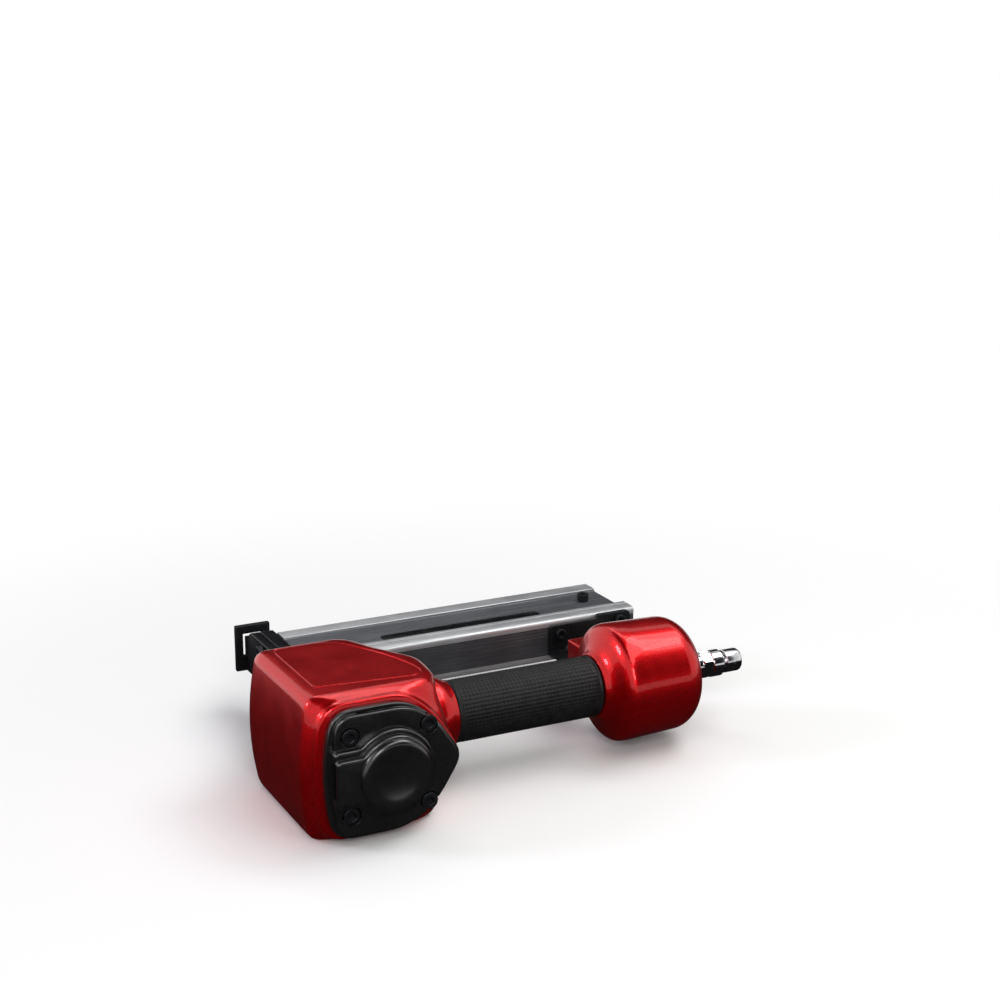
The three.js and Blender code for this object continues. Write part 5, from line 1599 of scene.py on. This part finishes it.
@dataclass
class Flag:
    """A dark card that only reflections see, as a photographer hangs to give gloss its contrast."""

    name: str
    place: Triple
    size: Pair
    target: Triple = TOOL_MIDDLE
    colour: str = "#19191A"

    def build(self) -> None:
        """Adds the card, turned to face the target, and hides it from the camera and from diffuse light."""
        corners = UNIT_SQUARE * [self.size[0] / 2, self.size[1] / 2, 0]
        turn = np.array(towards(self.place, self.target).to_matrix())
        made = empty_material(f"{self.name}_felt")
        glow = add_node(made.node_tree, "ShaderNodeEmission", {"Color": linear(self.colour)})
        add_node(made.node_tree, "ShaderNodeOutputMaterial", {"Surface": glow.outputs[0]})
        thing = card(self.name, corners @ turn.T + self.place, made)
        thing.visible_camera = thing.visible_diffuse = thing.visible_shadow = False
        thing.visible_transmission = False


@dataclass
class Studio:
    """Camera at the photo's angle, soft lamps, a white surround and a pale floor that takes the shadow."""

    camera_place: Triple = (-0.31586, -0.80168, 0.392)
    camera_turn: Triple = (74.7, 0.0, -26.6)
    lens_mm: float = 65.99
    sensor_mm: float = 36.0
    floor_half: float = 4.0
    floor_drop: float = -0.0002
    floor_middle: Triple = (0.09, 0.04, 0.0)
    floor_near: float = 0.12
    floor_far: float = 0.52
    floor_colour: str = "#F6F6F5"
    surround: float = 0.3
    lamps: tuple[Softbox, ...] = (
        Softbox("back_strip", (0.5, 0.3, 1.0), (1.6, 0.2), 2.8),
        Softbox("top_strip", (0.5, -0.3, 1.1), (1.6, 0.5), 8.0),
        Softbox("left_dish", (-0.95, 0.38, 0.62), (0.3, 0.3), 3.5, "#F1EAFB", "ELLIPSE"),
        Softbox("front_softbox", (-0.35, -1.15, 0.7), (0.5, 0.5), 7.0),
    )
    flags: tuple[Flag, ...] = (
        Flag("rear_flag", (0.8, 0.9, 0.42), (2.0, 0.8)),
        Flag("front_flag", (0.3, -1.9, 1.3), (3.4, 2.2)),
        Flag("roof_flag", (0.1, 0.1, 1.9), (2.6, 2.6)),
        Flag("low_flag", (0.2, -0.165, 0.0008), (1.3, 1.01), (0.2, -0.165, 1.0)),
    )

    def camera(self) -> None:
        """Adds the camera."""
        data = bpy.data.cameras.new("photo_angle")
        data.lens, data.sensor_width = self.lens_mm, self.sensor_mm
        data.clip_start, data.clip_end = 0.01, 50.0
        thing = placed("photo_angle", data)
        thing.location = self.camera_place
        thing.rotation_euler = [math.radians(a) for a in self.camera_turn]
        bpy.context.scene.camera = thing

    def world(self) -> None:
        """White where the camera, a gloss or glass looks, and an even grey that lights the rest."""
        world = bpy.data.worlds.new("white_surround")
        bpy.context.scene.world = world
        world.use_nodes = True
        tree = world.node_tree
        tree.nodes.clear()
        seen = add_node(tree, "ShaderNodeLightPath").outputs
        first = add_node(tree, "ShaderNodeMath", {0: seen["Is Camera Ray"], 1: seen["Is Glossy Ray"]},
                         operation="MAXIMUM").outputs[0]
        white = add_node(tree, "ShaderNodeMath", {0: first, 1: seen["Is Transmission Ray"]},
                         operation="MAXIMUM").outputs[0]
        strength = add_node(tree, "ShaderNodeMapRange", {
            "Value": white, "To Min": self.surround, "To Max": 1.0}).outputs[0]
        glow = add_node(tree, "ShaderNodeBackground", {"Color": linear("#FFFFFF"), "Strength": strength})
        add_node(tree, "ShaderNodeOutputWorld", {"Surface": glow.outputs[0]})

    def floor(self) -> None:
        """A pale matt floor that fades into the white surround away from the tool."""
        made = empty_material("matt_white_floor_card")
        tree = made.node_tree
        place = add_node(tree, "ShaderNodeTexCoord").outputs["Object"]
        distance = add_node(tree, "ShaderNodeVectorMath", {0: place, 1: self.floor_middle},
                            operation="DISTANCE")
        fade = add_node(tree, "ShaderNodeMapRange", {
            "Value": distance.outputs["Value"], "From Min": self.floor_near, "From Max": self.floor_far},
            interpolation_type="SMOOTHSTEP").outputs[0]
        pale = add_node(tree, "ShaderNodeBsdfDiffuse", {"Color": linear(self.floor_colour)}).outputs[0]
        clear = add_node(tree, "ShaderNodeBsdfTransparent").outputs[0]
        mixed = add_node(tree, "ShaderNodeMixShader", {0: fade, 1: pale, 2: clear}).outputs[0]
        add_node(tree, "ShaderNodeOutputMaterial", {"Surface": mixed})
        card("pale_floor", UNIT_SQUARE * self.floor_half, made).location.z = self.floor_drop

    def build(self) -> None:
        """Sets the view transform and makes camera, lamps, surround and floor."""
        bpy.context.scene.view_settings.view_transform = "Standard"
        self.camera()
        self.world()
        self.floor()
        for light_or_flag in (*self.lamps, *self.flags):
            light_or_flag.build()


def main() -> None:
    """Builds every sub-assembly in order."""
    logging.basicConfig(level=logging.INFO, format="%(name)s %(message)s")
    Studio().build()
    for part in (HeadCasting(), CylinderCap(), GripSleeve(), AirTank(), AirPlug(), Magazine(), Nose(),
                 RearBracket(), MagazineEnd(), Trigger(), ContactArm(), *SPRINGS):
        part.build()
    finish_kept()


if __name__ == "__main__":
    main()
